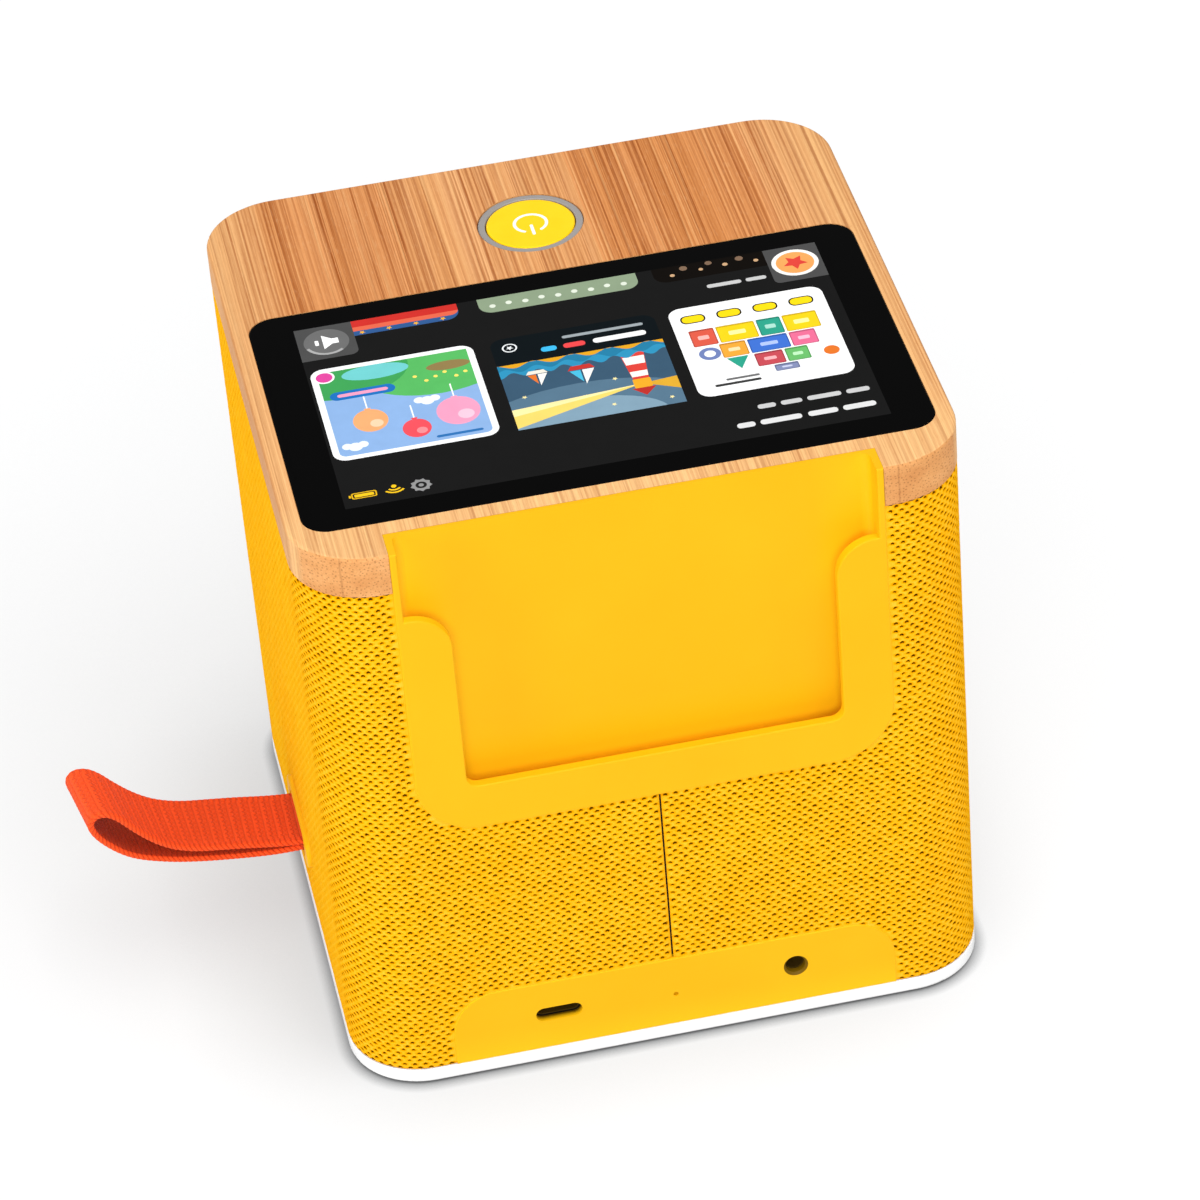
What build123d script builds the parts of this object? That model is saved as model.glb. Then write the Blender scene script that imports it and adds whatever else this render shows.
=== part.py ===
from build123d import *
import math
import os

os.makedirs("parts", exist_ok=True)

# Audio story player: a 125 mm cube with a knitted sleeve, a bamboo top with a
# touch display and a power button, a card dock and a port panel on its back,
# and a webbing tab on its right side. Millimetres, +Z up, the base rests on
# z = 0, the button side looks along -Y and the card dock along +Y.

# ---------------------------------------------------------------- dimensions
W = 125.0            # width and depth over the sleeve
H = 125.4            # height over the bamboo top
R = 14.8             # radius of the four upright corners
Z_PAD = 0.9          # anti-slip pad thickness
Z_BASE0 = 0.4        # underside of the base plate
Z_BASE1 = 3.6        # top of the base plate's visible band
Z_DECK0 = 114.4      # underside of the chassis deck
Z_WOOD0 = 116.8      # underside of the bamboo top
T_FAB = 1.5          # sleeve thickness
CH_O = 121.8         # chassis outside
CH_W = 2.2           # chassis wall
CH_RO = 13.2         # chassis corner radius, outside
CH_I = CH_O - 2 * CH_W
CH_RI = CH_RO - CH_W
YW1 = CH_O / 2       # outer face of the chassis wall
YW0 = CH_I / 2       # inner face of the chassis wall

# display
GLASS_W, GLASS_D, GLASS_R = 118.1, 72.2, 5.05
GLASS_Y = 15.9
GLASS_T = 1.05
LCD_W, LCD_D = 107.6, 66.8
WIN_W, WIN_D = 110.0, 69.2

# power button
BTN_Y = -38.3
RING_RO, RING_RI = 10.35, 8.9
CAP_R = 8.72
BTN_TOP = 125.25
BTN_TRAVEL = 0.9

# card dock
DOCK_W = 91.2        # outside width
DOCK_Z0 = 60.3
DOCK_R = 12.0
DOCK_Y1 = 62.7       # lip face
LIP_T = 1.8
FLOOR_Y = 56.5       # face that the card leans on
RIM = 1.35
NOTCH_W = 91.3
NOTCH_Y = 55.75
SILL_Z = 62.0        # ledge that the card stands on
POCKET_RF = 2.0      # rounding between the pocket's floor and its sides
LIP_X = 35.9         # half width of the finger window
LIP_Z0 = 70.1
LIP_Z1 = 110.1
LIP_RC = 7.4

# port panel
PAN_W, PAN_Z1, PAN_R = 87.0, 19.85, 9.0
USB_X, USB_Z = 22.9, 12.0
RST_X, RST_Z = 0.0, 11.0
JACK_X, JACK_Z, JACK_R = -23.8, 12.45, 1.8

# speaker, on an axis along Y through (0, *, SPK_Z)
SPK_Z = 62.0

# strap
ST_W = 16.0          # webbing width
ST_T = 1.35          # webbing thickness
ST_PX, ST_PZ = 63.5, 19.75   # where the tab bends at the slot


# ------------------------------------------------------------------- helpers
def box(x0, x1, y0, y1, z0, z1):
    return Pos((x0 + x1) / 2, (y0 + y1) / 2, (z0 + z1) / 2) * Box(x1 - x0, y1 - y0, z1 - z0)


def slab(w, d, r, z0, z1, cx=0.0, cy=0.0):
    return extrude(Pos(cx, cy, z0) * RectangleRounded(w, d, r), z1 - z0)


def cyl(x, y, z0, z1, r):
    return Pos(x, y, (z0 + z1) / 2) * Cylinder(r, z1 - z0)


def cyl_y(x, z, y0, y1, r):
    return Pos(x, (y0 + y1) / 2, z) * Rot(90, 0, 0) * Cylinder(r, y1 - y0)


def cyl_x(y, z, x0, x1, r):
    return Pos((x0 + x1) / 2, y, z) * Rot(0, 90, 0) * Cylinder(r, x1 - x0)


def ext_y(sk, y0, y1):
    return extrude(Plane.XZ.offset(-y1) * sk, y1 - y0)


def poly(points):
    return make_face(Polyline(*points, close=True).edges())


def screw(x, y, z_head, up, head_r, head_h, shaft_r, length):
    # pan-head screw; the head's far face is at z_head and the shaft points up or down
    s = 1 if up else -1
    zh = z_head + s * head_h
    ze = zh + s * length
    a = cyl(x, y, min(z_head, zh), max(z_head, zh), head_r)
    b = cyl(x, y, min(zh, ze), max(zh, ze), shaft_r)
    c = box(x - head_r * 0.5, x + head_r * 0.5, y - 0.25, y + 0.25,
            min(z_head, z_head + s * 0.5), max(z_head, z_head + s * 0.5))
    return a + b - c


def save(name, shape):
    solids = shape.solids() if hasattr(shape, "solids") else [shape]
    out = solids[0] if len(solids) == 1 else Compound(children=list(solids))
    out.label = name
    export_step(out, "parts/%s.step" % name)


def save_group(name, shapes):
    solids = []
    for s in shapes:
        solids += list(s.solids())
    out = Compound(children=solids)
    out.label = name
    export_step(out, "parts/%s.step" % name)


# ----------------------------------------------------------------- base end
foot_screws = [(sx * 46.0, sy * 46.0) for sx in (-1, 1) for sy in (-1, 1)]
cradle_holes = [(sx * 37.0, y) for sx in (-1, 1) for y in (-11.0, 16.0)]
port_holes = [(-30.5, 47.2), (10.0, 47.2), (28.5, 47.2)]

base = slab(W, W, R, Z_BASE0, Z_BASE1)
base = fillet(base.edges().group_by(Axis.Z)[0], 0.7)
base = fillet(base.edges().group_by(Axis.Z)[-1], 0.25)
base += slab(CH_I - 0.3, CH_I - 0.3, CH_RI - 0.1, Z_BASE1, 7.2) - slab(CH_I - 4.3, CH_I - 4.3, CH_RI - 2.1, Z_BASE1 - 0.1, 7.3)
base -= slab(104.4, 104.4, 8.2, Z_BASE0 - 0.1, Z_PAD)
for x, y in foot_screws:
    base -= cyl(x, y, Z_PAD - 0.1, 2.5, 3.2)
    base -= cyl(x, y, Z_PAD, 8.0, 1.6)
    base -= cyl(x, y, Z_BASE1, 8.0, 4.2)
for x, y in cradle_holes:
    base += cyl(x, y, Z_BASE1 - 0.5, 5.5, 3.0)
    base -= cyl(x, y, 2.1, 5.6, 1.25)
for x, y in port_holes:
    base += cyl(x, y, Z_BASE1 - 0.5, 9.05, 2.6)
    base -= cyl(x, y, 3.2, 9.2, 1.05)
save("base_plate", base)

pad = slab(104.0, 104.0, 8.0, 0.0, Z_PAD)
for i in range(-3, 4):
    pad -= box(-40, 40, i * 12.0 - 0.6, i * 12.0 + 0.6, -0.1, 0.3)
pad = pad + slab(30, 30, 4, 0.0, 0.5)
save("anti_slip_pad", pad)

save_group("base_screws", [screw(x, y, Z_PAD + 0.05, True, 2.9, 1.5, 1.42, 9.5) for x, y in foot_screws])

# ------------------------------------------------------------------ outlines
def dock_outline(grow=0.0, z1=H):
    w = DOCK_W / 2 + grow
    z0 = DOCK_Z0 - grow
    sk = poly([(-w, z0), (w, z0), (w, z1), (-w, z1)])
    return fillet(sk.vertices().group_by(Axis.Y)[0], DOCK_R + grow)


def panel_outline(grow=0.0, z0=Z_BASE1 + 0.1):
    w = PAN_W / 2 + grow
    z1 = PAN_Z1 + grow
    sk = poly([(-w, z0), (w, z0), (w, z1), (-w, z1)])
    return fillet(sk.vertices().group_by(Axis.Y)[-1], PAN_R + grow)


def trim_outline(dy, dz, r):
    # upright slot outline on the right side, drawn as (y, z)
    return Pos(0, ST_PZ) * RectangleRounded(dy, dz, r)


def ext_x(sk, x0, x1):
    return extrude(Plane.YZ.offset(x0) * sk, x1 - x0)


# ------------------------------------------------------------- inner chassis
top_screw_at = [(sx * 50.0, y) for sx in (-1, 1) for y in (53.0, -27.0, -50.0)]
board_at = [(sx * 44.0, sy * 38.0) for sx in (-1, 1) for sy in (-1, 1)]
spk_screw_at = [(29.3 * math.cos(math.radians(a)), SPK_Z + 29.3 * math.sin(math.radians(a))) for a in (45, 135, 225, 315)]
ring_screw_at = [(sx * 10.9, BTN_Y) for sx in (-1, 1)]
strap_screw_at = [(sy * 14.2, ST_PZ) for sy in (-1, 1)]
deck_screw_at = [(sx * 55.6, y) for sx in (-1, 1) for y in (-8.0, 26.0)]

# four walls, open at the bottom and at the top
ch = slab(CH_O, CH_O, CH_RO, Z_BASE1 + 0.05, Z_DECK0 - 0.05)
ch -= slab(CH_I, CH_I, CH_RI, 3.0, Z_DECK0 + 1)
# columns for the base screws, tied to the corners by gussets
for x, y in foot_screws:
    a = math.degrees(math.atan2(y, x))
    col = cyl(x, y, Z_BASE1 + 0.1, 34.0, 3.9)
    gus = Pos(x, y, 0) * Rot(0, 0, a) * box(0, 14.2, -1.0, 1.0, 7.6, 34.0)
    ch += (gus + col)
for x, y in foot_screws:
    ch -= cyl(x, y, 3.0, 16.0, 1.5)
# bosses on the side walls for the deck's screws
for x, y in deck_screw_at:
    ch += cyl(x, y, 105.0, Z_DECK0 - 0.05, 3.4)
    ch -= cyl(x, y, 105.9, Z_DECK0, 1.2)
# card dock opening through the back wall
ch -= ext_y(dock_outline(0.25, H + 5), YW0 - 0.3, YW1 + 2)
# ports
ch -= ext_y(Pos(USB_X, USB_Z) * RectangleRounded(9.8, 4.0, 1.9), YW0 - 1, YW1 + 1)
ch -= cyl_y(RST_X, RST_Z, YW0 - 1, YW1 + 1, 0.9)
ch -= cyl_y(JACK_X, JACK_Z, YW0 - 1, YW1 + 1, 3.15)
# webbing slot in the right wall and its bracket's screws
ch -= ext_x(Pos(0, ST_PZ) * RectangleRounded(18.2, 6.6, 1.5), YW0 - 1, YW1 + 1)
for y, z in strap_screw_at:
    ch -= cyl_x(y, z, YW0 - 0.1, YW0 + 1.8, 1.05)
# sound slots in front of the loudspeaker
disc = cyl_y(0, SPK_Z, -YW1 - 1, -YW0 + 1, 24.0)
slots = None
for i in range(-3, 4):
    b = box(i * 6.6 - 2.2, i * 6.6 + 2.2, -YW1 - 1, -YW0 + 1, SPK_Z - 25, SPK_Z + 25)
    slots = b if slots is None else slots + b
ch -= disc & slots
for x, z in spk_screw_at:
    ch -= cyl_y(x, z, -YW0 - 1.9, -YW0 + 0.1, 1.15)
save("inner_chassis", ch)

# deck on top of the walls: carries the bamboo top, the button and the main board
dk = slab(CH_O, CH_O, CH_RO, Z_DECK0, Z_WOOD0 - 0.05)
# posts that hang the main board under the deck
for x, y in board_at:
    dk += cyl(x, y, 106.05, Z_DECK0 + 0.1, 3.2)
    dk -= cyl(x, y, 106.0, 113.0, 1.35)
for x, y in top_screw_at:
    dk -= cyl(x, y, Z_DECK0 - 0.1, Z_WOOD0 + 0.1, 1.6)
for x, y in deck_screw_at:
    dk -= cyl(x, y, Z_DECK0 - 0.1, Z_WOOD0 + 0.1, 1.3)
    dk -= cyl(x, y, Z_WOOD0 - 1.4, Z_WOOD0 + 0.1, 2.4)
# openings for the button, the display ribbon and the card dock
dk -= cyl(0, BTN_Y, Z_DECK0 - 0.1, Z_WOOD0 + 0.1, 9.2)
for x, y in ring_screw_at:
    dk -= cyl(x, y, Z_DECK0 - 0.1, 116.2, 0.8)
dk -= box(-12.5, 12.5, -18.4, -14.6, Z_DECK0 - 0.1, Z_WOOD0 + 0.1)
dk -= box(-DOCK_W / 2 - 0.25, DOCK_W / 2 + 0.25, NOTCH_Y - 0.9, 70, Z_DECK0 - 0.1, H)
save("chassis_deck", dk)
save_group("deck_screws", [screw(x, y, Z_WOOD0 - 0.1, False, 2.2, 1.2, 1.12, 7.5) for x, y in deck_screw_at])

# ------------------------------------------------------------- fabric sleeve
fab = slab(W, W, R, Z_BASE1 + 0.05, Z_WOOD0 - 0.05)
fab -= slab(W - 2 * T_FAB, W - 2 * T_FAB, R - T_FAB, 0, 120)
fab -= ext_y(dock_outline(0.12, H + 5), 55, 70)
fab -= ext_y(panel_outline(0.12, 0.0), 55, 70)
fab -= ext_x(trim_outline(26.2, 7.2, 3.3), 55, 70)
save("fabric_sleeve", fab)

# ----------------------------------------------------------------- card dock
w2 = DOCK_W / 2
dock = ext_y(dock_outline(), FLOOR_Y - 1.6, DOCK_Y1)
# flange that clamps the dock behind the chassis wall
fl = poly([(-w2 - 3, DOCK_Z0 - 3), (w2 + 3, DOCK_Z0 - 3), (w2 + 3, 112.0), (-w2 - 3, 112.0)])
fl = fillet(fl.vertices().group_by(Axis.Y)[0], 13.0)
fl = fillet(fl.vertices().group_by(Axis.Y)[-1], 1.5)
dock += ext_y(fl, YW0 - 1.3, YW0 - 0.1)
# the upper part stays inside the notch of the bamboo
dock -= box(-60, 60, 40, NOTCH_Y + 0.08, Z_DECK0 - 0.2, H + 1)
# pocket
pw = w2 - RIM
pk = poly([(-pw, SILL_Z), (pw, SILL_Z), (pw, H + 5), (-pw, H + 5)])
pk = fillet(pk.vertices().group_by(Axis.Y)[0], 9.0)
pocket = ext_y(pk, FLOOR_Y, DOCK_Y1 - LIP_T)
pocket = fillet(pocket.edges().group_by(Axis.Y)[0], POCKET_RF)
dock -= pocket
# window in the lip, with two rounded ears
wn = poly([(-LIP_X, LIP_Z0), (LIP_X, LIP_Z0), (LIP_X, LIP_Z1), (pw, LIP_Z1), (pw, H + 5), (-pw, H + 5), (-pw, LIP_Z1), (-LIP_X, LIP_Z1)])
wn = fillet(wn.vertices().group_by(Axis.Y)[0], 2.3)
ears = [v for v in wn.vertices() if abs(v.Y - LIP_Z1) < 0.01 and abs(abs(v.X) - LIP_X) < 0.01]
wn = fillet(ears, LIP_RC)
dock -= ext_y(wn, DOCK_Y1 - LIP_T - 0.5, DOCK_Y1 + 1)
# soften the lip's front edges
try:
    front = [e for e in dock.edges() if abs(e.center().Y - DOCK_Y1) < 0.01]
    dock = fillet(front, 0.35)
except Exception as err:
    print("lip fillet left out:", err)
# pegs for the card reader board
nfc_at = [(sx * 33.0, z) for sx in (-1, 1) for z in (69.0, 107.0)]
for x, z in nfc_at:
    dock += cyl_y(x, z, 53.9, FLOOR_Y - 1.5, 2.2)
    dock -= cyl_y(x, z, 53.8, 55.7, 0.8)
save("card_dock", dock)

nfc = box(-37.0, 37.0, 52.8, 53.85, 66.0, 110.0)
for x, z in nfc_at:
    nfc -= cyl_y(x, z, 52, 54.5, 1.1)
save("card_reader_board", nfc)
coil = None
for i in range(3):
    a = 27.5 - 2.2 * i
    b = 16.5 - 2.2 * i
    ring = ext_y(Pos(0, 88) * RectangleRounded(2 * a, 2 * b, 3) - Pos(0, 88) * RectangleRounded(2 * a - 2.0, 2 * b - 2.0, 2.2), 53.9, 54.1)
    coil = [ring] if coil is None else coil + [ring]
save_group("card_reader_coil", coil)


def screw_y(x, z, y_head, s, head_r, head_h, shaft_r, length):
    yh = y_head + s * head_h
    ye = yh + s * length
    return (cyl_y(x, z, min(y_head, yh), max(y_head, yh), head_r)
            + cyl_y(x, z, min(yh, ye), max(yh, ye), shaft_r)
            - box(x - head_r * 0.5, x + head_r * 0.5, min(y_head, y_head + s * 0.4), max(y_head, y_head + s * 0.4), z - 0.2, z + 0.2))


save_group("card_reader_screws", [screw_y(x, z, 51.6, 1, 1.7, 1.15, 0.76, 2.8) for x, z in nfc_at])

# ---------------------------------------------------------------- port panel
pan = ext_y(panel_outline(), YW1 + 0.05, DOCK_Y1 - 0.1)
try:
    pan = fillet([e for e in pan.edges() if abs(e.center().Y - (DOCK_Y1 - 0.1)) < 0.01], 0.25)
except Exception as err:
    print("panel fillet left out:", err)
pan -= ext_y(Pos(USB_X, USB_Z) * RectangleRounded(9.1, 3.2, 1.59), 60, 64)
pan -= cyl_y(RST_X, RST_Z, 60, 64, 0.5)
pan -= cyl_y(JACK_X, JACK_Z, 60, 64, 1.95)
pan -= Pos(JACK_X, DOCK_Y1 - 0.1 - 0.25, JACK_Z) * Rot(-90, 0, 0) * Cone(1.95, 2.45, 0.5)
save("port_panel", pan)

# ---------------------------------------------------------------- bamboo top
wood = slab(W, W, R, Z_WOOD0, H)
wood = fillet(wood.edges().group_by(Axis.Z)[-1], 0.7)
wood = fillet(wood.edges().group_by(Axis.Z)[0], 0.3)
wood -= box(-NOTCH_W / 2, NOTCH_W / 2, NOTCH_Y, 80, Z_WOOD0 - 1, H + 1)
wood -= slab(GLASS_W + 0.25, GLASS_D + 0.25, GLASS_R + 0.12, H - 1.4, H + 1, 0, GLASS_Y)
wood -= slab(WIN_W, WIN_D, 3.0, Z_WOOD0 - 1, H, 0, GLASS_Y)
wood -= cyl(0, BTN_Y, Z_WOOD0 - 1, H + 1, RING_RO + 0.1)
for x, y in top_screw_at:
    wood -= cyl(x, y, Z_WOOD0 - 0.1, 121.8, 1.45)
save("bamboo_top", wood)
save_group("top_screws", [screw(x, y, Z_DECK0 - 2.0, True, 2.7, 1.95, 1.4, 7.0) for x, y in top_screw_at])

# ------------------------------------------------------------------- display
glass = slab(GLASS_W, GLASS_D, GLASS_R, H - GLASS_T, H, 0, GLASS_Y)
glass = chamfer(glass.edges().group_by(Axis.Z)[-1], 0.15)
save("cover_glass", glass)
tape = slab(GLASS_W - 0.4, GLASS_D - 0.4, GLASS_R - 0.2, H - 1.38, H - GLASS_T - 0.02, 0, GLASS_Y) - slab(WIN_W + 1.0, WIN_D + 0.6, 3.2, H - 3, H, 0, GLASS_Y)
save("glass_tape", tape)
lcd = box(-LCD_W / 2, LCD_W / 2, GLASS_Y - LCD_D / 2, GLASS_Y + LCD_D / 2, 121.4, H - GLASS_T - 0.05)
save("lcd_panel", lcd)
fr_w, fr_d = WIN_W - 0.6, WIN_D - 0.6
frame_ = slab(fr_w, fr_d, 2.8, Z_WOOD0 + 0.05, 121.3, 0, GLASS_Y)
frame_ -= slab(fr_w - 3.6, fr_d - 3.6, 1.2, Z_WOOD0, 120.0, 0, GLASS_Y)
frame_ -= box(-12.0, 12.0, -18.0, -15.0, Z_WOOD0 + 1.2, 122)
for x in (-26, 0, 26):
    frame_ += box(x - 0.7, x + 0.7, GLASS_Y - 30, GLASS_Y + 32, Z_WOOD0 + 0.4, 120.1)
frame_ -= box(-12.0, 12.0, -18.0, -13.2, Z_WOOD0, 122)
save("display_frame", frame_)
ribbon = box(-10, 10, -16.65, -16.35, 107.5, 121.3) + box(-10, 10, -16.65, -11.2, 107.3, 107.6)
save("display_ribbon", ribbon)

# -------------------------------------------------------------- power button
ring = cyl(0, BTN_Y, Z_WOOD0, BTN_TOP, RING_RO) - cyl(0, BTN_Y, Z_WOOD0 - 1, BTN_TOP + 1, RING_RI)
ring = fillet(ring.edges().group_by(Axis.Z)[-1], 0.25)
save("button_ring", ring)
cap = cyl(0, BTN_Y, 122.7, BTN_TOP, CAP_R)
cap = fillet(cap.edges().group_by(Axis.Z)[-1], 0.4)
cap += cyl(0, BTN_Y, 119.6, 122.8, CAP_R - 0.12) - cyl(0, BTN_Y, 119.5, 122.7, CAP_R - 1.2)
cap += cyl(0, BTN_Y, 117.45, 122.8, 2.5)
save("power_button_cap", cap)
# silicone dome under the cap's stem
d1 = Pos(0, BTN_Y, 0) * revolve(Plane.XZ * poly([(7.4, 114.35), (7.4, 114.9), (5.4, 114.9), (3.0, 117.4), (0, 117.4), (0, 116.7), (2.6, 116.7), (4.7, 114.35)]), Axis.Z)
save("button_dome", d1)
bb = cyl(0, BTN_Y, 113.2, 114.3, 13.0)
for x, y in ring_screw_at:
    bb -= cyl(x, y, 113, 115, 0.95)
save("button_board", bb)
leds = []
for k in range(6):
    a = math.radians(30 + 60 * k)
    leds.append(Pos(8.3 * math.cos(a), BTN_Y + 8.3 * math.sin(a), 114.7) * Rot(0, 0, math.degrees(a)) * Box(1.2, 2.0, 0.6))
save_group("button_leds", leds)
save_group("button_screws", [screw(x, y, 112.1, True, 1.6, 1.05, 0.75, 2.8) for x, y in ring_screw_at])

# ---------------------------------------------------------------- electronics
mb = slab(96.0, 84.0, 3.0, 104.4, 106.0)
for x, y in board_at:
    mb -= cyl(x, y, 104, 107, 1.55)
save("main_board", mb)
can = box(-34, -6, 4, 34, 106.05, 108.4) - box(-33.7, -6.3, 4.3, 33.7, 106.0, 108.1)
save("shield_can", can)
chips = [
    box(-11, 11, -14.2, -9.2, 106.05, 107.25),    # ribbon connector
    box(-29, -15, 10, 24, 106.05, 107.2),         # processor
    box(-28, -18, 26, 32, 106.05, 107.0),         # memory
    box(8, 16, 14, 22, 106.05, 107.1),            # power controller
    box(20, 26, 6, 12, 106.05, 108.0),            # inductor
    box(-8, 2, 38, 41, 101.6, 104.35),            # port connector
    box(36, 42, -14, -9, 101.4, 104.35),          # battery connector
    box(-42, -36, -14, -9, 101.4, 104.35),        # loudspeaker connector
]
save_group("board_chips", chips)
save_group("board_screws", [screw(x, y, 102.5, True, 2.6, 1.85, 1.3, 8.0) for x, y in board_at])
ant = box(-YW0 + 0.05, -YW0 + 0.35, -18, 18, 88, 100) - box(-60, -57, -12, 10, 92, 94) - box(-60, -57, -6, 14, 96, 97.5)
save("radio_antenna", ant)

# battery: two 18650 cells in a cradle on the base
cells = [cyl_x(y, 16.4, -32.5, 32.5, 9.2) for y in (-7.2, 12.2)]
cells = [fillet(c.edges(), 1.0) for c in cells]
cells = [c + cyl_x(y, 16.4, 32.4, 33.4, 3.0) for c, y in zip(cells, (-7.2, 12.2))]
save_group("battery_cells", cells)
cr = box(-34.5, 34.5, -17.6, 22.6, 5.55, 17.5)
for y in (-7.2, 12.2):
    cr -= cyl_x(y, 16.4, -33.6, 33.6, 9.35)
    cr -= box(-33.6, 33.6, y - 9.35, y + 9.35, 16.4, 20)
for x, y in cradle_holes:
    cr += cyl(x, y, 5.55, 7.4, 3.4)
for x, y in cradle_holes:
    cr -= cyl(x, y, 5.0, 8.0, 1.45)
save("battery_cradle", cr)
save_group("battery_screws", [screw(x, y, 8.9, False, 2.3, 1.45, 1.2, 5.0) for x, y in cradle_holes])


def lead(name, pts, radii, r):
    path = FilletPolyline(*pts, radius=radii)
    print(name, "length", round(path.length, 1), "radii", radii)
    prof = Plane(origin=path @ 0, z_dir=path % 0) * Circle(r)
    return sweep(prof, path)


save("battery_lead", lead("battery_lead", [(34.9, 2.5, 20.5), (44.5, 2.5, 24.0), (47.5, 1.5, 50.0), (46.0, -4.0, 78.0), (39.0, -11.5, 101.0)], [5.0, 11.0, 11.0], 0.9))
save("port_lead", lead("port_lead", [(6.0, 46.0, 11.0), (6.0, 44.0, 24.0), (4.0, 42.0, 50.0), (-2.0, 43.5, 78.0), (-3.0, 39.5, 101.5)], [6.0, 11.0, 11.0], 0.9))

# ------------------------------------------------------------- loudspeaker
SPK = Pos(0, -YW0, SPK_Z) * Rot(-90, 0, 0)


def rev(points):
    return revolve(Plane.XZ * poly(points), Axis.Z)


def spk_cyl(x, z, d0, d1, r):
    return cyl_y(x, z, -YW0 + d0, -YW0 + d1, r)


gas = SPK * rev([(25.2, 0.05), (31.5, 0.05), (31.5, 1.05), (25.2, 1.05)])
for x, z in spk_screw_at:
    gas -= spk_cyl(x, z, -0.5, 1.5, 1.4)
save("speaker_gasket", gas)
bas = SPK * rev([(24.4, 1.1), (31.4, 1.1), (31.4, 2.2), (25.6, 2.2), (18.8, 13.5), (18.8, 14.7), (8.3, 14.7), (8.3, 13.6), (17.7, 13.6), (24.4, 2.4)])
for k in range(4):
    bas -= SPK * Rot(0, 0, 90 * k) * Pos(21.5, 0, 8.0) * Box(12, 13, 7)
for x, z in spk_screw_at:
    bas -= spk_cyl(x, z, 0.5, 3, 1.3)
bas += SPK * Rot(0, 0, 45) * Pos(21.6, 0, 10.4) * Box(4.4, 8, 2.0)
save("speaker_basket", bas)
save("speaker_top_plate", SPK * rev([(8.0, 14.75), (17.0, 14.75), (17.0, 17.75), (8.0, 17.75)]))
save("speaker_magnet", SPK * rev([(10.0, 17.8), (18.5, 17.8), (18.5, 25.8), (10.0, 25.8)]))
save("speaker_yoke", SPK * rev([(0, 15.0), (6.6, 15.0), (6.6, 25.85), (16.0, 25.85), (16.0, 28.3), (0, 28.3)]))
cone = SPK * rev([(0, 6.2), (3.5, 6.35), (6.3, 7.0), (7.4, 7.8), (21.4, 1.9), (21.4, 2.5), (7.5, 8.9), (7.5, 19.0), (7.0, 19.0), (7.0, 8.4), (6.2, 7.6), (3.5, 6.95), (0, 6.8)])
save("speaker_cone", cone)
sur = []
prof = []
for k in range(0, 13):
    a = math.radians(180 - 15 * k)
    prof.append((22.92 + 1.4 * math.cos(a), 2.1 - 1.4 * math.sin(a)))
for k in range(12, -1, -1):
    a = math.radians(180 - 15 * k)
    prof.append((22.92 + 1.0 * math.cos(a), 2.1 - 1.0 * math.sin(a)))
save("speaker_surround", SPK * rev(prof))
sp = []
n = 9
for k in range(n + 1):
    r_ = 7.6 + (19.0 - 7.6) * k / n
    sp.append((r_, 10.2 + (0.5 if k % 2 else -0.1)))
sp2 = [(r_, d_ + 0.35) for r_, d_ in sp]
save("speaker_spider", SPK * rev(sp + sp2[::-1]))
scr = []
for x, z in spk_screw_at:
    scr.append(spk_cyl(x, z, 2.25, 3.6, 1.8) + spk_cyl(x, z, -1.7, 2.3, 1.1) - spk_cyl(x, z, 3.2, 3.7, 0.7))
save_group("speaker_screws", scr)
chm = ext_y(Pos(0, SPK_Z) * RectangleRounded(70, 70, 8), -YW0 + 0.05, -22.0) - ext_y(Pos(0, SPK_Z) * RectangleRounded(66, 66, 6), -YW0 - 1, -24.0)
for x in (-15.0, 0.0, 15.0):
    chm += box(x - 0.8, x + 0.8, -22.1, -20.6, SPK_Z - 30, SPK_Z + 30)
chm -= cyl_y(-26.0, 88.0, -26, -18, 1.2)
save("speaker_chamber", chm)
save("speaker_lead", lead("speaker_lead", [(-26.0, -27.0, 88.0), (-26.0, -17.5, 88.0), (-33.0, -12.5, 92.5), (-39.0, -11.5, 100.8)], [3.2, 4.0], 0.8))

# ---------------------------------------------------------------- port board
pb = box(-34, 32, 43.5, 58.3, 9.1, 10.3)
for x, y in port_holes:
    pb -= cyl(x, y, 9, 10.5, 1.25)
save("port_board", pb)
save_group("port_screws", [screw(x, y, 11.8, False, 2.0, 1.4, 1.0, 6.2) for x, y in port_holes])
# USB-C receptacle: folded shell, closed back, centre tongue
sh = ext_y(Pos(USB_X, USB_Z) * RectangleRounded(8.94, 3.26, 1.62), 52.6, 60.5)
sh -= ext_y(Pos(USB_X, USB_Z) * RectangleRounded(8.34, 2.66, 1.32), 53.8, 61)
sh += ext_y(Pos(USB_X, USB_Z) * RectangleRounded(6.69, 0.7, 0.3), 53.7, 59.9)
save("usb_c_receptacle", sh)
# headphone socket
jk = box(JACK_X - 3.1, JACK_X + 3.1, 46.9, 58.4, 10.35, 15.0) + cyl_y(JACK_X, JACK_Z, 58.3, 60.8, 2.9)
jk -= box(JACK_X - 3.2, JACK_X + 3.2, 58.4, 61, 5, 10.3)
jk -= cyl_y(JACK_X, JACK_Z, 48.2, 61.5, JACK_R)
save("headphone_socket", jk)
# reset switch, pushed by a pin through the panel
rs = box(-1.9, 1.9, 53.4, 57.0, 10.35, 12.6) - box(-0.75, 0.75, 54.9, 57.1, 10.45, 11.6)
save("reset_switch", rs)
rp = box(-0.65, 0.65, 55.4, 58.2, 10.55, 11.5)
save("reset_plunger", rp)

# --------------------------------------------------------------------- strap
trim = ext_x(trim_outline(26.0, 7.0, 3.2), YW1 + 0.05, 63.3)
trim = fillet(trim.edges().group_by(Axis.X)[-1], 0.5)
trim -= ext_x(trim_outline(17.4, 5.6, 1.2), 58, 66)
save("strap_slot_trim", trim)

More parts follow.
